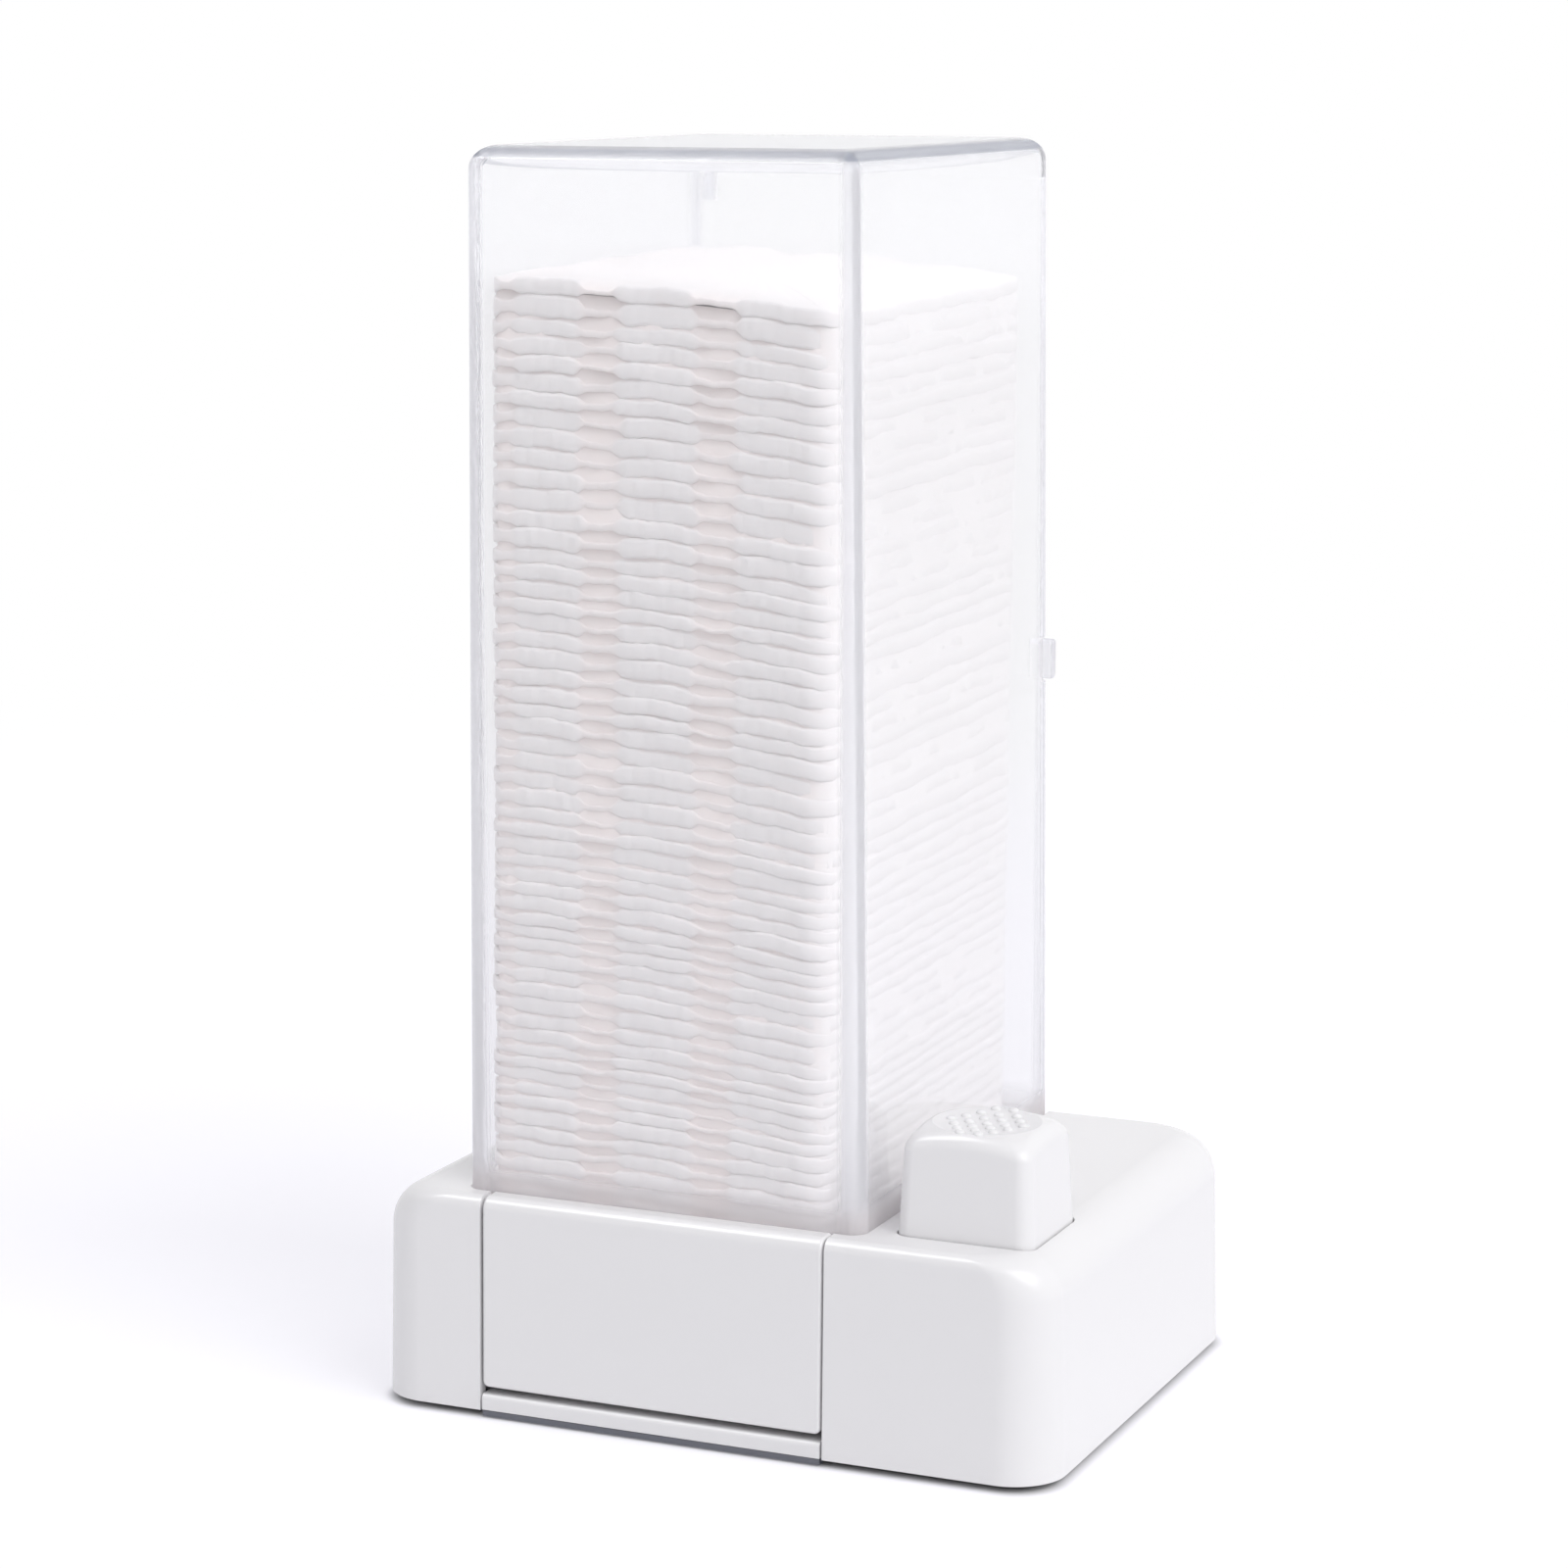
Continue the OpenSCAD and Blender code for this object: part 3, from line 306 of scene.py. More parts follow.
def moulded_group():
    """Moulded plastic: a tone that drifts slowly, patchy gloss and a fine grain."""
    tree, given, out = new_group("moulded", [
        ("Colour", "Color", (0.8, 0.8, 0.8, 1)), ("Drift", "Float", 0.02),
        ("Roughness", "Float", 0.4), ("Patch", "Float", 0.05),
        ("Grain size", "Float", 900.0), ("Grain", "Float", 0.1),
    ], [("Colour", "Color"), ("Roughness", "Float"), ("Normal", "Vector")])
    at = add(tree, "ShaderNodeTexCoord").outputs["Object"]
    slow = add(tree, "ShaderNodeTexNoise", {"Vector": at}, Scale=22.0, Detail=3.0)
    drift = calc(tree, "MULTIPLY", calc(tree, "SUBTRACT", slow.outputs["Fac"], 0.5),
                 given.outputs["Drift"])
    colour = vector_calc(tree, "MULTIPLY", given.outputs["Colour"],
                         calc(tree, "ADD", drift, 1.0))
    patch = add(tree, "ShaderNodeTexNoise", {"Vector": at}, Scale=60.0, Detail=4.0)
    spread = calc(tree, "MULTIPLY_ADD", patch.outputs["Fac"], given.outputs["Patch"],
                  given.outputs["Roughness"])
    fine = add(tree, "ShaderNodeTexNoise",
               {"Vector": at, "Scale": given.outputs["Grain size"]}, Detail=2.0)
    bump = add(tree, "ShaderNodeBump", {"Height": fine.outputs["Fac"],
                                        "Strength": given.outputs["Grain"]}, Distance=0.0001)
    link(tree, (colour, out.inputs["Colour"]), (spread, out.inputs["Roughness"]),
         (bump.outputs[0], out.inputs["Normal"]))
    return tree


def fibre_group():
    """Cotton: fine curly fibres as stretched noise, and soft clumps under them; a warmer colour
    paints shade into the recesses, and comes in where the clumps lie low.
    """
    tree, given, out = new_group("fibres", [
        ("Colour", "Color", (0.9, 0.88, 0.86, 1)),
        ("Recess shade colour", "Color", (0.8, 0.74, 0.7, 1)), ("Relief", "Float", 0.5),
    ], [("Colour", "Color"), ("Normal", "Vector")])
    at = add(tree, "ShaderNodeTexCoord").outputs["Object"]
    stretched = add(tree, "ShaderNodeMapping", {"Vector": at}, Scale=(1.0, 1.0, 2.6)).outputs[0]
    clumps = add(tree, "ShaderNodeTexNoise", {"Vector": stretched}, Scale=420.0,
                 Detail=5.0, Roughness=0.62, Distortion=0.8).outputs["Fac"]
    curls = add(tree, "ShaderNodeTexNoise", {"Vector": stretched}, Scale=1900.0,
                Detail=3.0, Roughness=0.7, Distortion=2.0).outputs["Fac"]
    # Painted shade: the share the pads carry in their pinched furrows and the core in the gaps
    painted_recess_shade = add(tree, "ShaderNodeAttribute", attribute_name="recess_shade").outputs["Fac"]
    # Where the clumps lie low the recess colour comes in as well
    low_clump_share = span(tree, clumps, 0.3, 0.55, 0.25, 0.0, "LINEAR")
    recess_shade_and_clumps = calc(tree, "ADD", painted_recess_shade, low_clump_share, clamp=True)
    colour = add(tree, "ShaderNodeMix", data_type="RGBA")
    link(tree, (recess_shade_and_clumps, colour.inputs[0]), (given.outputs["Colour"], colour.inputs[6]),
         (given.outputs["Recess shade colour"], colour.inputs[7]))
    bump = add(tree, "ShaderNodeBump", {"Height": calc(tree, "ADD", clumps, curls),
                                        "Strength": given.outputs["Relief"]}, Distance=0.0003)
    link(tree, (colour.outputs[2], out.inputs["Colour"]),
         (bump.outputs[0], out.inputs["Normal"]))
    return tree


MOULDED = moulded_group()
FIBRES = fibre_group()


def new_material(name):
    """A material, its node tree and its Principled shader."""
    material = bpy.data.materials.new(name)
    material.use_nodes = True
    tree = material.node_tree
    shader = next(n for n in tree.nodes if n.type == "BSDF_PRINCIPLED")
    return material, tree, shader


def moulded(name, colour, roughness, drift=0.02, patch=0.06, size=900.0, grain=0.08, **sockets):
    """A plastic, rubber or metal with a drifting tone, patchy gloss and a fine grain."""
    material, tree, shader = new_material(name)
    look = tree.nodes.new("ShaderNodeGroup")
    look.node_tree = MOULDED
    look.inputs["Colour"].default_value = (*colour, 1)
    for label, value in (("Drift", drift), ("Roughness", roughness), ("Patch", patch),
                         ("Grain size", size), ("Grain", grain)):
        look.inputs[label].default_value = value
    link(tree, (look.outputs["Colour"], shader.inputs["Base Color"]),
         (look.outputs["Roughness"], shader.inputs["Roughness"]),
         (look.outputs["Normal"], shader.inputs["Normal"]))
    for label, value in sockets.items():
        shader.inputs[label.replace("_", " ")].default_value = value
    return material


# Where the clear walls carry painted milk and shade: heights of the painted shade band above
# the seat and of the one round the top, and distances of the corners, whose milk paints pale
# refraction bands, from the tower's middle, in metres
SEAT_BAND = (0.0378, 0.0420)
TOP_BAND_FROM, TOP_BAND_TO = (0.2009, 0.2014), (0.2024, 0.2030)
CORNER_X, CORNER_Y = (0.0300, 0.0316), (0.0385, 0.0402)
# How much milk each of them adds, as painted shade in the two bands and as painted pale
# bands at the corners, and what a slanting view adds at most
SEAT_SHADE_MILK, TOP_SHADE_MILK, PAINTED_CORNER_MILK, SLANT_FROST_AND_PAINTED_EDGES = 0.35, 0.5, 0.5, 0.32
# Tints of the milk: the wall's own, and the dark ones that paint shade into the band above the
# seat and into the band round the top
WALL_TINT, SEAT_SHADE_TINT = (0.93, 0.93, 0.96, 1), (0.80, 0.775, 0.785, 1)
TOP_SHADE_TINT = (0.46, 0.48, 0.54, 1)
# Rays past this depth end on a painted glow, which grows with height where it is seen and so
# paints shade towards the seat; rays that light the cotton end on an even painted glow
LAST_DEPTH, GLOW_HEIGHTS, GLOW_STRENGTHS, LIGHTING_GLOW = 4.5, (0.036, 0.110), (0.22, 0.93), 0.74


def lighting(tree):
    """1 for rays that have left a matt surface, and so light it."""
    path = tree.nodes.new("ShaderNodeLightPath")
    return calc(tree, "GREATER_THAN", path.outputs["Diffuse Depth"], 0.5)


def clear_plastic(name, colour, roughness, haze):
    """Clear moulded plastic with a milky haze, stronger where it is seen at a slant, partly as
    frosting is and partly as painted pale edges.

    Shadow rays pass straight through it. Rays that have been thrown about inside a wall
    end on a painted glow, a light grey that darkens towards the seat as painted shade, and
    rays that light the cotton on an even painted glow. The upright corners are milky as
    painted light, pale bands that stand in for refraction, and a band above the seat and one
    round the top carry painted shade in dark milk.
    """
    material = moulded(name, colour, roughness, 0.01, 0.03, 160.0, 0.01,
                       Transmission_Weight=1.0, IOR=1.47)
    tree = material.node_tree
    shader = next(n for n in tree.nodes if n.type == "BSDF_PRINCIPLED")
    at = add(tree, "ShaderNodeTexCoord").outputs["Object"]
    height = add(tree, "ShaderNodeSeparateXYZ", {0: at}).outputs["Z"]
    # Painted shade: a dark milky band just above the seat and another round the top
    seat = span(tree, height, *SEAT_BAND, 1.0, 0.0)
    top = calc(tree, "MULTIPLY", span(tree, height, *TOP_BAND_FROM, 0.0, 1.0),
               span(tree, height, *TOP_BAND_TO, 1.0, 0.0))
    # Painted pale bands: the upright corners are milkier, standing in for refraction there
    aside = add(tree, "ShaderNodeSeparateXYZ", {0: vector_calc(
        tree, "ABSOLUTE",
        vector_calc(tree, "SUBTRACT", at, (BAY_X * MM, TOWER_Y * MM, 0.0)))})
    corner = calc(tree, "MULTIPLY", span(tree, aside.outputs["X"], *CORNER_X, 0.0, 1.0),
                  span(tree, aside.outputs["Y"], *CORNER_Y, 0.0, 1.0))
    # A slanting view adds milk, partly as frosting does and partly as painted pale edges
    slant = add(tree, "ShaderNodeLayerWeight", Blend=0.5).outputs["Facing"]
    amount = calc(tree, "MULTIPLY_ADD", calc(tree, "MULTIPLY", slant, slant), SLANT_FROST_AND_PAINTED_EDGES, haze)
    amount = calc(tree, "MULTIPLY_ADD", seat, SEAT_SHADE_MILK, amount)
    amount = calc(tree, "MULTIPLY_ADD", top, TOP_SHADE_MILK, amount)
    amount = calc(tree, "MULTIPLY_ADD", corner, PAINTED_CORNER_MILK, amount, clamp=True)
    # The dark tints of these two bands are painted shade
    tint = add(tree, "ShaderNodeMix", {0: seat}, data_type="RGBA")
    tint.inputs[6].default_value, tint.inputs[7].default_value = WALL_TINT, SEAT_SHADE_TINT
    tint = add(tree, "ShaderNodeMix", {0: top, 6: tint.outputs[2]}, data_type="RGBA")
    tint.inputs[7].default_value = TOP_SHADE_TINT
    milk = add(tree, "ShaderNodeBsdfDiffuse", {"Color": tint.outputs[2]})
    glow = add(tree, "ShaderNodeBsdfTranslucent", {"Color": tint.outputs[2]})
    # Painted glow: past the last depth rays end on an emission that stands in for the light
    # they would bring, dimmer towards the seat as painted shade and even for rays that light
    # the cotton
    path = tree.nodes.new("ShaderNodeLightPath")
    deep = calc(tree, "GREATER_THAN", path.outputs["Ray Depth"], LAST_DEPTH)
    tone = add(tree, "ShaderNodeMix", {
        0: lighting(tree), 2: span(tree, height, *GLOW_HEIGHTS, *GLOW_STRENGTHS)}, data_type="FLOAT")
    tone.inputs[3].default_value = LIGHTING_GLOW
    inside = add(tree, "ShaderNodeEmission", {"Strength": tone.outputs[0]},
                 Color=(0.96, 0.96, 1.0, 1))
    through = add(tree, "ShaderNodeBsdfTransparent", Color=(0.915, 0.915, 0.93, 1))
    both, hazy, with_painted_glow, mix = (tree.nodes.new("ShaderNodeMixShader") for _ in range(4))
    both.inputs[0].default_value = 0.5
    out = next(n for n in tree.nodes if n.type == "OUTPUT_MATERIAL")
    link(tree, (milk.outputs[0], both.inputs[1]), (glow.outputs[0], both.inputs[2]),
         (amount, hazy.inputs[0]), (shader.outputs[0], hazy.inputs[1]),
         (both.outputs[0], hazy.inputs[2]), (deep, with_painted_glow.inputs[0]),
         (hazy.outputs[0], with_painted_glow.inputs[1]), (inside.outputs[0], with_painted_glow.inputs[2]),
         (path.outputs["Is Shadow Ray"], mix.inputs[0]), (with_painted_glow.outputs[0], mix.inputs[1]),
         (through.outputs[0], mix.inputs[2]), (mix.outputs[0], out.inputs["Surface"]))
    material.cycles.emission_sampling = "NONE"
    return material


def cotton_wool(name):
    """Matt white cotton with a slight sheen, with a pinker painted shade in its furrows and
    gaps.
    """
    material, tree, shader = new_material(name)
    look = tree.nodes.new("ShaderNodeGroup")
    look.node_tree = FIBRES
    look.inputs["Colour"].default_value = (0.885, 0.862, 0.858, 1)
    # The warmer recess colour, painted shade in the furrows and gaps
    look.inputs["Recess shade colour"].default_value = (0.90, 0.825, 0.805, 1)
    look.inputs["Relief"].default_value = 0.35
    link(tree, (look.outputs["Colour"], shader.inputs["Base Color"]),
         (look.outputs["Normal"], shader.inputs["Normal"]))
    shader.inputs["Roughness"].default_value = 0.95
    shader.inputs["Sheen Weight"].default_value = 0.1
    shader.inputs["Specular IOR Level"].default_value = 0.1
    return material


WHITE = moulded("white_plastic", (0.816, 0.808, 0.818), 0.24, drift=0.01, patch=0.02,
                grain=0.03)
CLEAR = clear_plastic("clear_plastic", (0.985, 0.985, 0.99), 0.05, 0.07)
SLATE = moulded("slate_plastic", (0.13, 0.135, 0.16), 0.45, drift=0.1, grain=0.2)
GEAR = moulded("gear_plastic", (0.78, 0.79, 0.74), 0.45, drift=0.05, grain=0.15)
RUBBER = moulded("rubber", (0.06, 0.06, 0.065), 0.7, drift=0.15, size=500.0, grain=0.4)
STEEL = moulded("steel", (0.62, 0.63, 0.65), 0.25, drift=0.06, size=1400.0, grain=0.2,
                Metallic=1.0)
POLISHED = moulded("polished_steel", (0.93, 0.93, 0.94), 0.12, patch=0.03, grain=0.05,
                   Metallic=1.0)
COTTON = cotton_wool("cotton_wool")

FINISH = {
    "white_shell": WHITE, "clear_wall": CLEAR, "dark_plate": SLATE, "gear_plastic": GEAR,
    "rubber": RUBBER, "steel": STEEL, "cotton": COTTON,
}
SLOT_OF = {s["node"]: s["material_slot"] for s in frame["record"]["subparts"]}


def wear(obj, material):
    """Gives the object this one material."""
    obj.data.materials.clear()
    obj.data.materials.append(material)


for node, obj in NODES.items():
    wear(obj, FINISH[SLOT_OF[node]])
wear(NODES["door_pins"], POLISHED)


def place(obj, body, node):
    """The piece moves with the body and stands for the CAD node, in its finish."""
    wear(obj, FINISH[SLOT_OF[node]])
    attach(obj, body)
    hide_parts(node)


# The base and its front panel
def rounded_in(z, top, r):
    """How far a side has moved in at height z, round a fillet of radius r under top."""
    rise = np.clip(z - (top - r), 0, r)
    return r - np.sqrt(r * r - rise * rise)


def base_skin(inset, bottom, turns=36):
    """The base's form, moved inwards by inset: round-cornered rectangles that lean in.

    Near the top the left and right sides follow a large quarter circle and the front and
    rear a small one, while the corners keep their radius, so that the edges run together.
    """
    top = BASE_H - inset
    side_r, front_r = 7.0 - inset, max(2.0 - inset, 0.6)
    phi = np.linspace(0, np.pi / 2, turns)
    z = np.concatenate([[bottom], top - side_r + side_r * np.sin(phi)])
    half_w = BASE_W / 2 - inset - z * BASE_LEAN - rounded_in(z, top, side_r)
    half_d = BASE_D / 2 - inset - z * BASE_LEAN - rounded_in(z, top, front_r)
    return loft(stacked(ring(half_w, half_d, 8.8 - inset - z * BASE_LEAN, 16), z))


def tower_plan(grow, z0, z1):
    """The hole for the tower, wider than it by grow, which runs out at the base's back."""
    half_w = TOWER_W / 2 + grow
    front = TOWER_FRONT - grow
    flat = ring([half_w, half_w], BASE_D / 2, TOWER_CORNER + grow, 12,
                (BAY_X, front + BASE_D / 2))
    return loft(stacked(flat, [z0, z1]))


def button_plan(grow, z0, z1):
    """The hole for the button, wider than it by grow on each side."""
    flat = ring([BUTTON_W / 2 + grow] * 2, BUTTON_D / 2 + grow, BUTTON_CORNER + grow, 12,
                (BUTTON_X, BUTTON_Y))
    return loft(stacked(flat, [z0, z1]))


def bay_and_hole(middles):
    """The edges beside the panel's bay, and the rim of the button's hole."""
    x, y, z = middles.T
    beside = (np.abs(x - BAY_LEFT) < 0.02) | (np.abs(x - BAY_RIGHT) < 0.02)
    bay = beside & (y < -42) & ((y < -44) | (z > BASE_H - 0.3))
    hole = (z > BASE_H - 0.05) & (y > -41) & (y < -10) & (x > 27)
    return (z > 1) & (bay | hole)


def make_base():
    """The white shell with its bay for the panel and its holes for tower and button."""
    base = solid("base_shell_white", base_skin(0.0, 1.2))
    combine(base, "DIFFERENCE", base_skin(BASE_WALL, 0.0),
            block((BAY_LEFT, -60, -1), (BAY_RIGHT, TOWER_FRONT - TOWER_PLAY, 60)),
            tower_plan(TOWER_PLAY, SEAT_Z, 60), button_plan(0.3, 18, 60))
    finish_edges(base, 0.55, bay_and_hole, segments=4)
    bosses = solid("bosses", *[tube(x, y, 3.0, 33.9, 3.0, 1.25, 14.0) for x, y in
                               ((-48.5, -20), (-48.5, 20), (52.5, -11.5), (52.5, 24))])
    place(joined(base, bosses), "base", "base_shell")


def tube(x, y, z0, z1, r, bore, bore_top):
    """An upright boss from z0 to z1 with a blind bore from below: the outline of its
    section, turned about its axis."""
    radius = np.array([bore * 0.02, bore, bore, r, r, r * 0.02])
    height = np.array([bore_top, bore_top, z0, z0, z1, z1])
    return loft(stacked(circle(radius, 24, (x, y)), height))


def joined(first, *others):
    """Puts the other objects' meshes into the first."""
    with bpy.context.temp_override(active_object=first, object=first,
                                   selected_editable_objects=[first, *others]):
        bpy.ops.object.join()
    return first


def make_panel():
    """The front panel: the base's own skin between the two seams, above the slot, with
    two studs that hold it."""
    half = (BAY_RIGHT - BAY_LEFT) / 2 - SEAM
    flat = ring([half, half], 40.0, 1.0, 8, (BAY_X, SLOT_TOP + 40.0))
    front_to_back = np.concatenate([flat[..., :1], np.broadcast_to(
        np.array([TOWER_FRONT - TOWER_PLAY, -60.0])[:, None, None], flat[..., :1].shape),
        flat[..., 1:]], -1)
    panel = solid("front_panel_white", base_skin(0.0, 0.5))
    combine(panel, "INTERSECT", loft(front_to_back))
    combine(panel, "DIFFERENCE", base_skin(BASE_WALL, -1.0))
    finish_edges(panel, 0.5, lambda m: m[:, 1] < -41.0, segments=4)
    studs = solid("studs", *[block((x - 4, -43.4, 14), (x + 4, -40.0, 22))
                             for x in (BAY_X - 15, BAY_X + 15)])
    place(joined(panel, studs), "base", "front_panel")


# The finger button
def button_skin(inset, bottom, top, turns=14):
    """The button's form between two heights, moved inwards by inset: upright in the base
    and tapered above it, with a domed top and round edges.

    The dome falls by the squared distance from its middle over twice its radius. Round the
    edge a quarter circle is taken off as well, and inside it the rings close in.
    """
    r = max(2.0 - inset, 0.6)
    lean = (top - 1.0 - BASE_H) * BUTTON_LEAN
    phi = np.linspace(0, np.pi / 2, turns)
    moved = inset + np.concatenate([[0, 0], lean + r * (1 - np.cos(phi))])
    corner = max(BUTTON_CORNER - inset, 1.2) - np.where(np.arange(turns + 2) > 1, 0.4, 0.0)
    flat = ring(BUTTON_W / 2 - moved, BUTTON_D / 2 - moved, corner, 12, between=11)
    flat = np.concatenate([flat, flat[-1:] * np.linspace(0.88, 0.02, 8)[:, None, None]])
    under = np.concatenate([[0, 0], r * (1 - np.sin(phi)), np.zeros(8)])
    z = top - (flat ** 2).sum(-1) / (2 * BUTTON_CROWN) - under[:, None]
    z[0], z[1] = bottom, BASE_H
    return loft(np.concatenate([flat + (BUTTON_X, BUTTON_Y), z[..., None]], -1))


def make_button():
    """The button cap: a finger dish, 23 small domes, two flanges and a stem.

    The dish is part of a sphere, and the domes stand on it in rows of 2 to 5, a triangle's
    height apart.
    """
    cap = solid("button_cap_white", button_skin(0.0, SKIRT_Z, BUTTON_TOP))
    bowl_r = (DISH_R ** 2 + DISH_DEPTH ** 2) / (2 * DISH_DEPTH)
    low = BUTTON_TOP - DISH_R ** 2 / (2 * BUTTON_CROWN) - DISH_DEPTH
    out = np.linspace(0.3, 12.0, 22)
    z = low + bowl_r - np.sqrt(bowl_r ** 2 - out ** 2)
    bowl = loft(stacked(circle(np.append(out, out[-1]), 72, (BUTTON_X, BUTTON_Y)),
                        np.append(z, BUTTON_TOP + 5)))
    combine(cap, "DIFFERENCE", button_skin(BUTTON_WALL, 30.0, BUTTON_TOP - 2.8), bowl,
            block((31.3, -18.5, 30), (36.1, -10, 35.3)))
    finish_edges(cap, angle=14.0)
    up = np.linspace(0, np.pi / 2 * 0.96, 7)
    domes = []
    for row in range(-3, 4):
        count = 5 - abs(row)
        for i in range(count):
            x = (i - (count - 1) / 2) * DOT_PITCH
            y = row * DOT_PITCH * math.sin(math.pi / 3)
            floor = low + (x * x + y * y) / (2 * bowl_r)
            rings = circle(np.concatenate([[DOT_R * 1.02], DOT_R * np.cos(up)]), 18,
                           (BUTTON_X + x, BUTTON_Y + y))
            heights = floor + np.concatenate([[-0.3], DOT_RISE * np.sin(up)])
            domes.append(loft(stacked(rings, heights)))
    dots = solid("dots", *domes)
    dots.data.shade_smooth()
    flanges = solid("flanges", *[block((31.95, y, SKIRT_Z), (50.45, y + 1.25, SKIRT_Z + 1.5))
                                 for y in (-38.7, -16.05)])
    stem = solid("stem", tube(POST_X, POST_Y, 30.0, 51.6, 5.2, 2.1, 40.1),
                 block((30.9, -23.5, 46.0), (37.2, -17.0, 50.4)))
    place(joined(cap, dots, flanges, stem), "button", "button_cap")


# The clear tower and its door
def tower_skin(inset, bottom, corner, top_r, turns=14):
    """The tower's form, moved inwards by inset: its left and right sides lean in, and a
    fillet runs round its top."""
    top = TOWER_TOP - inset
    phi = np.linspace(0, np.pi / 2, turns)
    z = np.concatenate([[bottom], top - top_r + top_r * np.sin(phi)])
    moved = rounded_in(z, top, top_r)
    half_w = TOWER_W / 2 - inset - (z - BASE_H) * TOWER_LEAN - moved
    half_d = (TOWER_REAR - TOWER_FRONT) / 2 - inset - moved
    return loft(stacked(ring(half_w, half_d, corner + 0 * z, 12, (BAY_X, TOWER_Y)), z))


def make_tower():
    """The clear tower with its open back, hinge eyes and door stop."""
    right_in = BAY_X + TOWER_W / 2 - TOWER_WALL
    tower = solid("tower_clear", tower_skin(0.0, SEAT_Z, TOWER_CORNER, 3.6))
    combine(tower, "DIFFERENCE", tower_skin(TOWER_WALL, SEAT_Z - 2, 1.1, 1.8),
            block((HINGE_X - 2.2, 41.3, DOOR_LOW - DOOR_PLAY),
                  (right_in, 60, DOOR_HIGH + DOOR_PLAY), TOWER_LEAN),
            block((0, 40.5, 111.9), (60, 60, 119.4)))
    combine(tower, "UNION", rod(HINGE_X, HINGE_Y, SEAT_Z, DOOR_LOW - DOOR_PLAY, BARREL_R),
            rod(HINGE_X, HINGE_Y, DOOR_HIGH + DOOR_PLAY, TOWER_TOP - 1, BARREL_R))
    finish_edges(tower, angle=32.0)
    place(tower, "base", "tower_shell")


def make_door():
    """The rear door: a leaning plate with a full-height hinge barrel and a thumb tab."""
    right_in = BAY_X + TOWER_W / 2 - TOWER_WALL - DOOR_PLAY
    door = solid("rear_door_clear", block((HINGE_X, TOWER_REAR - TOWER_WALL, DOOR_LOW),
                                          (right_in, TOWER_REAR, DOOR_HIGH), TOWER_LEAN))
    flat = ring([1.4, 1.4], 3.35, 0.9, 8, (42.3, 115.65))
    x = np.array([26.12, 20.75])
    tab = np.concatenate([np.broadcast_to(x[:, None, None], flat[..., :1].shape), flat], -1)
    combine(door, "UNION", rod(HINGE_X, HINGE_Y, DOOR_LOW, DOOR_HIGH, BARREL_R),
            loft(tab[::-1]))
    combine(door, "DIFFERENCE", *[rod(HINGE_X, HINGE_Y, low, high, PIN_HOLE_R) for low, high in
                                  ((DOOR_LOW - 1, DOOR_LOW + PIN_HOLE_DEPTH),
                                   (DOOR_HIGH - PIN_HOLE_DEPTH, DOOR_HIGH + 1))])
    finish_edges(door, 0.3, lambda m: m[:, 0] > 26.0)
    place(door, "door", "rear_door")


# The cotton pads
def pad_outline():
    """Points round a pad, anticlockwise from the front left, with their outward
    directions: dense along the front, where the pads show best."""
    half_w, half_d, r = PAD_W / 2, PAD_D / 2, 4.0
    sides = (((-1, -1), (1, -1), 88, -90), ((1, -1), (1, 1), 30, 0),
             ((1, 1), (-1, 1), 10, 90), ((-1, 1), (-1, -1), 14, 180))
    points, normals = [], []
    for (ax, ay), (bx, by), count, facing in sides:
        t = np.linspace(0, 1, count, endpoint=False)
        along = np.array([bx - ax, by - ay]) / 2
        start = np.array([ax * half_w, ay * half_d]) + along * r
        stop = np.array([bx * half_w, by * half_d]) - along * r
        points.append(start + t[:, None] * (stop - start))
        normal = np.array([math.cos(math.radians(facing)), math.sin(math.radians(facing))])
        normals.append(np.broadcast_to(normal, (count, 2)))
        turn = np.radians(facing + np.linspace(0, 90, 5, endpoint=False))
        out = np.stack([np.cos(turn), np.sin(turn)], -1)
        points.append(stop - normal * r + out * r)
        normals.append(out)
    return np.concatenate(points), np.concatenate(normals)


def waves(rng, count, along, lengths, heights):
    """Sums of sines along the outline, with a random phase and stretch for each pad, as
    count x points."""
    total = np.zeros((count, len(along)))
    for length, height in zip(lengths, heights):
        phase = rng.uniform(0, 2 * np.pi, (count, 1))
        bend = rng.uniform(0.7, 1.4, (count, 1))
        total += height * np.sin(2 * np.pi * along[None] / length * bend + phase)
    return total


def soft_step(x):
    """0 below 0, 1 above 1, smooth between."""
    x = np.clip(x, 0, 1)
    return x * x * (3 - 2 * x)


# Rings of a pad from the middle of its top over its edge to the middle of its bottom:
# distance inside the edge, share of the half thickness, and how far the ring is drawn
# together towards the pad's middle
PAD_RINGS = np.array([[3.4, 1.0, 0.0], [1.2, 1.0, 0.0], [0.35, 0.96, 0.0], [0.08, 0.84, 0.0],
                      [0.0, 0.55, 0.0], [0.0, -0.62, 0.0], [0.2, -0.95, 0.0],
                      [3.4, -1.0, 0.0]])
TOP_RINGS = np.array([[3.4, 1.0, k] for k in (0.97, 0.8, 0.62, 0.46, 0.32, 0.2, 0.1)])
# The pressed furrows: place, half width, and depth as a share of the pad's thickness
FURROWS = ((-9.7, 2.5, 0.74), (10.1, 2.7, 0.70), (-26.2, 1.1, 0.5))
# Lengths and heights of the waves that make the edges ragged and let them rise and fall,
# and the thickness from which they rise and fall in full
RAGGED = (23, 7.3, 2.9, 1.7), (0.13, 0.09, 0.06, 0.05)
LIFTS = (31, 9.1, 3.3, 1.9), (0.18, 0.13, 0.07, 0.04)
FULL_LIFT = 2.5


def sagging(x, y):
    """How far a pad of the stack hangs down at x, y from its middle, for a droop of 1:
    towards the right, more steeply near its edge, and towards the front."""
    t = (x + PAD_W / 2) / PAD_W
    return -(0.3 * t + 0.7 * np.clip(t, 0, 1.1) ** 2.4 - 0.3 * (y + PAD_D / 2) / PAD_D)


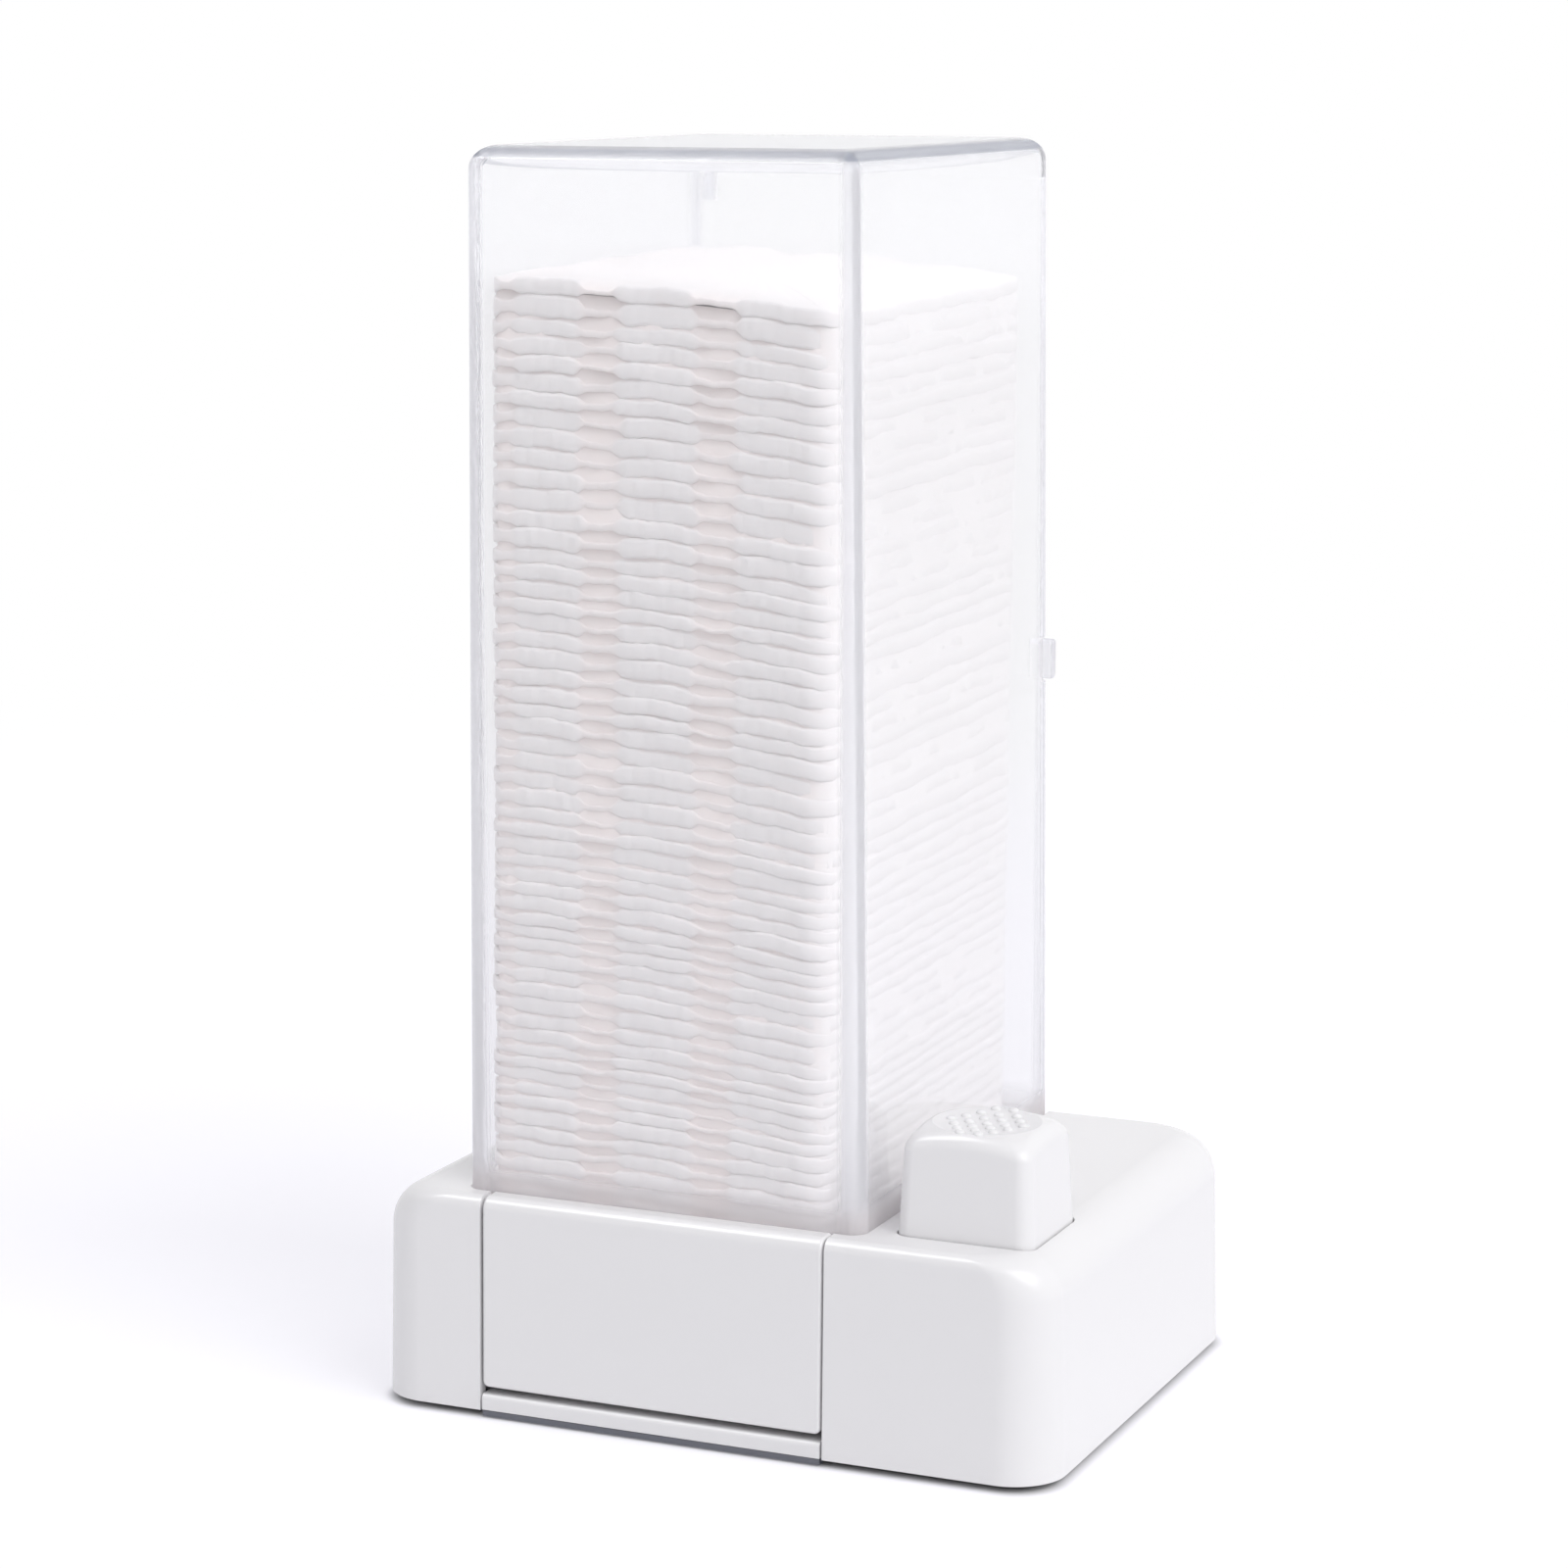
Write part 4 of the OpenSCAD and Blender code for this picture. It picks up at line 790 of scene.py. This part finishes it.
def pads(middle, z, thick, droop, seed, rings=PAD_RINGS):
    """Vertices, faces and painted shade shares of cotton pads, one for each middle and height.

    A pad is a closed skin of rings, each drawn round the pad's outline at its own distance
    inside it. Its height is z, plus a sag to the right by droop, an arch over each third
    of the pad, edge waves that die out inwards, and the ring's share of half the thickness.
    The pressed furrows make it thin near the front and rear edge, and they carry painted
    shade as far as they are pinched.
    """
    rng = np.random.default_rng(seed)
    outline, out = pad_outline()
    count = len(z)
    steps = np.linalg.norm(np.roll(outline, -1, 0) - outline, axis=1)
    along = np.concatenate([[0], np.cumsum(steps)[:-1]])
    ragged = waves(rng, count, along, *RAGGED)
    lift = waves(rng, count, along, *LIFTS)
    d, share, drawn = (rings[None, :, k, None] for k in range(3))
    edge = (outline[None, None] - out[None, None] * d[..., None]) * (1 - drawn[..., None])
    ragged = ragged * (1 - 0.75 * np.clip(out[:, 0], 0, 1))
    edge = edge + out[None, None] * (ragged[:, None] * np.exp(-d / 1.5)
                                     * (drawn == 0))[..., None]
    x, y = edge[..., 0], edge[..., 1]
    pinch = np.zeros_like(x)
    for at, reach, deep in FURROWS:
        shift = rng.uniform(-0.4, 0.4, (count, 1, 1))
        deep = deep * rng.uniform(0.6, 1.0, (count, 1, 1))
        wide = reach * rng.uniform(0.8, 1.15, (count, 1, 1))
        pinch = np.maximum(pinch, deep * (1 - soft_step((np.abs(x - at - shift) - wide) / 1.6)))
    pinch = pinch * np.exp(-np.maximum(d - 1.2, 0) / 4.0) * (drawn == 0)
    half = thick[:, None, None] / 2 * (1 - pinch)
    third = np.abs(((x / (PAD_W / 3) + 0.5) % 1.0) - 0.5) * 2
    arch = 0.34 * (1 - third ** 2) * thick[:, None, None] / 3
    sag = droop[:, None, None] * sagging(x, y)
    lift = lift * np.minimum(thick / FULL_LIFT, 1)[:, None]
    height = (z[:, None, None] + sag + arch + lift[:, None] * np.exp(-d / 3) * (1 - drawn)
              + share * half)
    verts = np.stack([x + middle[:, 0, None, None], y + middle[:, 1, None, None], height], -1)
    levels, points = len(rings), len(outline)
    index = np.arange(levels * points).reshape(levels, points)
    low, high = index[1:], index[:-1]
    sides = np.stack([low, np.roll(low, -1, 1), np.roll(high, -1, 1), high], -1).reshape(-1, 4)
    shifts = np.arange(count) * levels * points
    faces = (sides[None] + shifts[:, None, None]).reshape(-1, 4).tolist()
    for shift in shifts:
        faces += [(index[0] + shift).tolist(), (index[-1][::-1] + shift).tolist()]
    # The painted shade share is 0.8 of the pinch
    return verts.reshape(-1, 3), faces, np.clip(pinch * 0.8, 0, 1).reshape(-1)


def cotton_core(z0, z1, inset, droop):
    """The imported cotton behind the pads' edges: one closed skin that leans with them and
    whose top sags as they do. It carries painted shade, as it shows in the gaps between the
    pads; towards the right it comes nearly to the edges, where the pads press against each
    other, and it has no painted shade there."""
    z = np.array([z0, BASE_H, z1])
    outline, out = pad_outline()
    right = np.clip(out[:, :1], 0, 1)
    own = outline - out * inset * (1 - 0.88 * right)
    levels = stacked(own[None] + stack_middle(z)[:, None], z)
    levels[-1, :, 2] += droop * sagging(own[:, 0], own[:, 1])
    verts, faces = loft(levels)
    # Painted shade share: 0.8, fading to none towards the right
    return verts, faces, np.tile(0.8 * (1 - right[:, 0]), len(z))


def cotton(name, parts):
    """An object from (vertices, faces, painted shade shares), with the shares as an attribute.
    """
    obj = solid(name, *[part[:2] for part in parts])
    recess_shade = obj.data.attributes.new("recess_shade", "FLOAT", "POINT")
    recess_shade.data.foreach_set("value", np.concatenate([part[2] for part in parts])
                          .astype(np.float32))
    obj.data.shade_smooth()
    return obj


def stack_middle(z):
    """Where the pads lie at the heights z: against the left wall, which leans."""
    left = BAY_X - TOWER_W / 2 + TOWER_WALL + PAD_W / 2 + 0.65
    x = left + np.maximum(z - BASE_H, 0) * TOWER_LEAN
    return np.stack([x, np.full_like(x, PAD_Y)], -1)


def make_stack():
    """The seventy pads in the tower, pressed closer towards the bottom."""
    rng = np.random.default_rng(7)
    step = 1.9 + 1.2 * (np.arange(PAD_COUNT) + 0.5) / PAD_COUNT
    total = step.sum()
    step *= rng.uniform(0.8, 1.2, PAD_COUNT)
    step *= total / step.sum()
    z, gap = 5.35 + np.cumsum(step) - step, 0.04
    thick = step - gap
    middle = stack_middle(z) + np.stack([rng.uniform(-0.06, 0.06, PAD_COUNT),
                                         rng.uniform(-0.05, 0.3, PAD_COUNT)], -1)
    droop = 4.2 * soft_step((z - 8) / 60)
    at = z + thick / 2 + 0.6 * droop
    last = slice(PAD_COUNT - 1, PAD_COUNT)
    rings = np.concatenate([TOP_RINGS, PAD_RINGS])
    stack = cotton("pad_stack_cotton", [
        pads(middle[:-1], at[:-1], thick[:-1], droop[:-1], 11),
        pads(middle[last], at[last], thick[last], droop[last], 12, rings),
        cotton_core(5.8, at[-1] - 0.6, 0.56, droop[-1])])
    place(stack, "base", "pad_stack")


def make_lowest_pad():
    """The pad on the tray, the next one out."""
    middle, z, thick = [[BAY_X, PAD_Y]], 4.5, 0.8
    pad = cotton("lowest_pad_cotton", [pads(
        np.array(middle), np.array([z]), np.array([thick]), np.array([0.0]), 5,
        np.concatenate([TOP_RINGS, PAD_RINGS]))])
    place(pad, "slider", "lowest_pad")


make_base()
make_panel()
make_button()
make_tower()
make_door()
make_stack()
make_lowest_pad()


# Floor, surround and lights
FLOOR_HALF, FADE_FROM, FADE_TO = 1.6, 0.30, 0.75
# Half the base's width and depth less its corner radius, and how far from that rounded
# outline the floor's glow begins; inside it there is no glow, which paints a dark contact
# shadow under the base
CONTACT_HALF, CONTACT_FROM, CONTACT_TO = (0.0505, 0.0375, 0.0), 0.006, 0.0095
OVERHEAD_DIMMING = 0.45


def shown(tree):
    """1 for rays that show a thing: seen directly, reflected or through clear plastic."""
    path = tree.nodes.new("ShaderNodeLightPath")
    either = calc(tree, "MAXIMUM", path.outputs["Is Camera Ray"],
                  path.outputs["Is Transmission Ray"])
    return calc(tree, "MAXIMUM", either, path.outputs["Is Glossy Ray"])


def add_floor():
    """A white floor that keeps the holder's shadow and fades into the white surround; its glow
    is taken away under the base, which paints a dark contact shadow there.
    """
    half = FLOOR_HALF
    mesh = bpy.data.meshes.new("floor")
    mesh.from_pydata([(-half, -half, 0), (half, -half, 0), (half, half, 0), (-half, half, 0)],
                     [], [(0, 1, 2, 3)])
    floor = bpy.data.objects.new("floor", mesh)
    bpy.context.scene.collection.objects.link(floor)
    material = bpy.data.materials.new("floor")
    material.use_nodes = True
    tree = material.node_tree
    tree.nodes.clear()
    at = add(tree, "ShaderNodeTexCoord").outputs["Object"]
    fade = span(tree, vector_calc(tree, "LENGTH", at), FADE_FROM, FADE_TO, 0.0, 1.0)
    # Painted contact shadow: the glow goes to nothing under the base
    beyond = vector_calc(tree, "SUBTRACT", vector_calc(tree, "ABSOLUTE", at), CONTACT_HALF)
    outside = vector_calc(tree, "MAXIMUM", beyond, (0.0, 0.0, 0.0))
    glow_outside_contact_shade = span(tree, vector_calc(tree, "LENGTH", outside), CONTACT_FROM, CONTACT_TO,
                      0.0, 0.55)
    near = add(tree, "ShaderNodeBsdfDiffuse", Color=(0.51, 0.51, 0.51, 1))
    lift = add(tree, "ShaderNodeEmission", {"Strength": glow_outside_contact_shade},
               Color=(0.985, 0.97, 1.05, 1))
    both = tree.nodes.new("ShaderNodeAddShader")
    white = add(tree, "ShaderNodeEmission", Color=(1, 1, 1, 1), Strength=1.0)
    faded = tree.nodes.new("ShaderNodeMixShader")
    plain = add(tree, "ShaderNodeBsdfDiffuse", Color=(0.86, 0.86, 0.88, 1))
    mix = tree.nodes.new("ShaderNodeMixShader")
    out = tree.nodes.new("ShaderNodeOutputMaterial")
    link(tree, (near.outputs[0], both.inputs[0]), (lift.outputs[0], both.inputs[1]),
         (fade, faded.inputs[0]), (both.outputs[0], faded.inputs[1]),
         (white.outputs[0], faded.inputs[2]), (shown(tree), mix.inputs[0]),
         (plain.outputs[0], mix.inputs[1]), (faded.outputs[0], mix.inputs[2]),
         (mix.outputs[0], out.inputs["Surface"]))
    mesh.materials.append(material)


def add_world():
    """A white surround for what the camera sees, a little dimmer where it lights.

    What lights the cotton through the clear walls dims by the squared height of its
    direction, so that the pad on top doesn't wash out.
    """
    world = bpy.data.worlds.new("studio")
    bpy.context.scene.world = world
    world.use_nodes = True
    tree = world.node_tree
    tree.nodes.clear()
    lights = add(tree, "ShaderNodeBackground", Color=(0.98, 0.98, 1.0, 1), Strength=0.70)
    direction = add(tree, "ShaderNodeTexCoord").outputs["Generated"]
    up = add(tree, "ShaderNodeSeparateXYZ", {0: direction}).outputs["Z"]
    dimming = calc(tree, "MULTIPLY", calc(tree, "MULTIPLY", up, up), lighting(tree))
    white = add(tree, "ShaderNodeBackground", {
        "Strength": calc(tree, "MULTIPLY_ADD", dimming, -OVERHEAD_DIMMING, 1.0),
    }, Color=(1, 1, 1, 1))
    mix = tree.nodes.new("ShaderNodeMixShader")
    out = tree.nodes.new("ShaderNodeOutputWorld")
    link(tree, (shown(tree), mix.inputs[0]), (lights.outputs[0], mix.inputs[1]),
         (white.outputs[0], mix.inputs[2]), (mix.outputs[0], out.inputs[0]))


def lamp_turn(towards):
    """The rotation of a lamp that shines from that direction to the origin."""
    x, y, z = towards
    return math.atan2(math.hypot(x, y), z), 0.0, math.atan2(y, x) + math.pi / 2


def add_key(towards, strength, angle):
    """A broad soft key light from that direction."""
    data = bpy.data.lights.new("key", "SUN")
    data.energy = strength
    data.angle = math.radians(angle)
    lamp = bpy.data.objects.new("key", data)
    lamp.rotation_euler = lamp_turn(towards)
    bpy.context.scene.collection.objects.link(lamp)


def add_gleam(towards, far, size, power):
    """A softbox that only glossy surfaces show, for the bright lines along the edges."""
    data = bpy.data.lights.new("gleam", "AREA")
    data.size = size
    data.energy = power
    lamp = bpy.data.objects.new("gleam", data)
    lamp.location = [far * part for part in towards]
    lamp.rotation_euler = lamp_turn(towards)
    lamp.visible_diffuse = False
    lamp.visible_transmission = False
    lamp.visible_camera = False
    bpy.context.scene.collection.objects.link(lamp)


add_floor()
add_world()
add_gleam((-0.40, -0.29, 0.87), 1.2, 0.42, 4.4)
add_key((0.70, -0.24, 0.67), 1.38, 42)
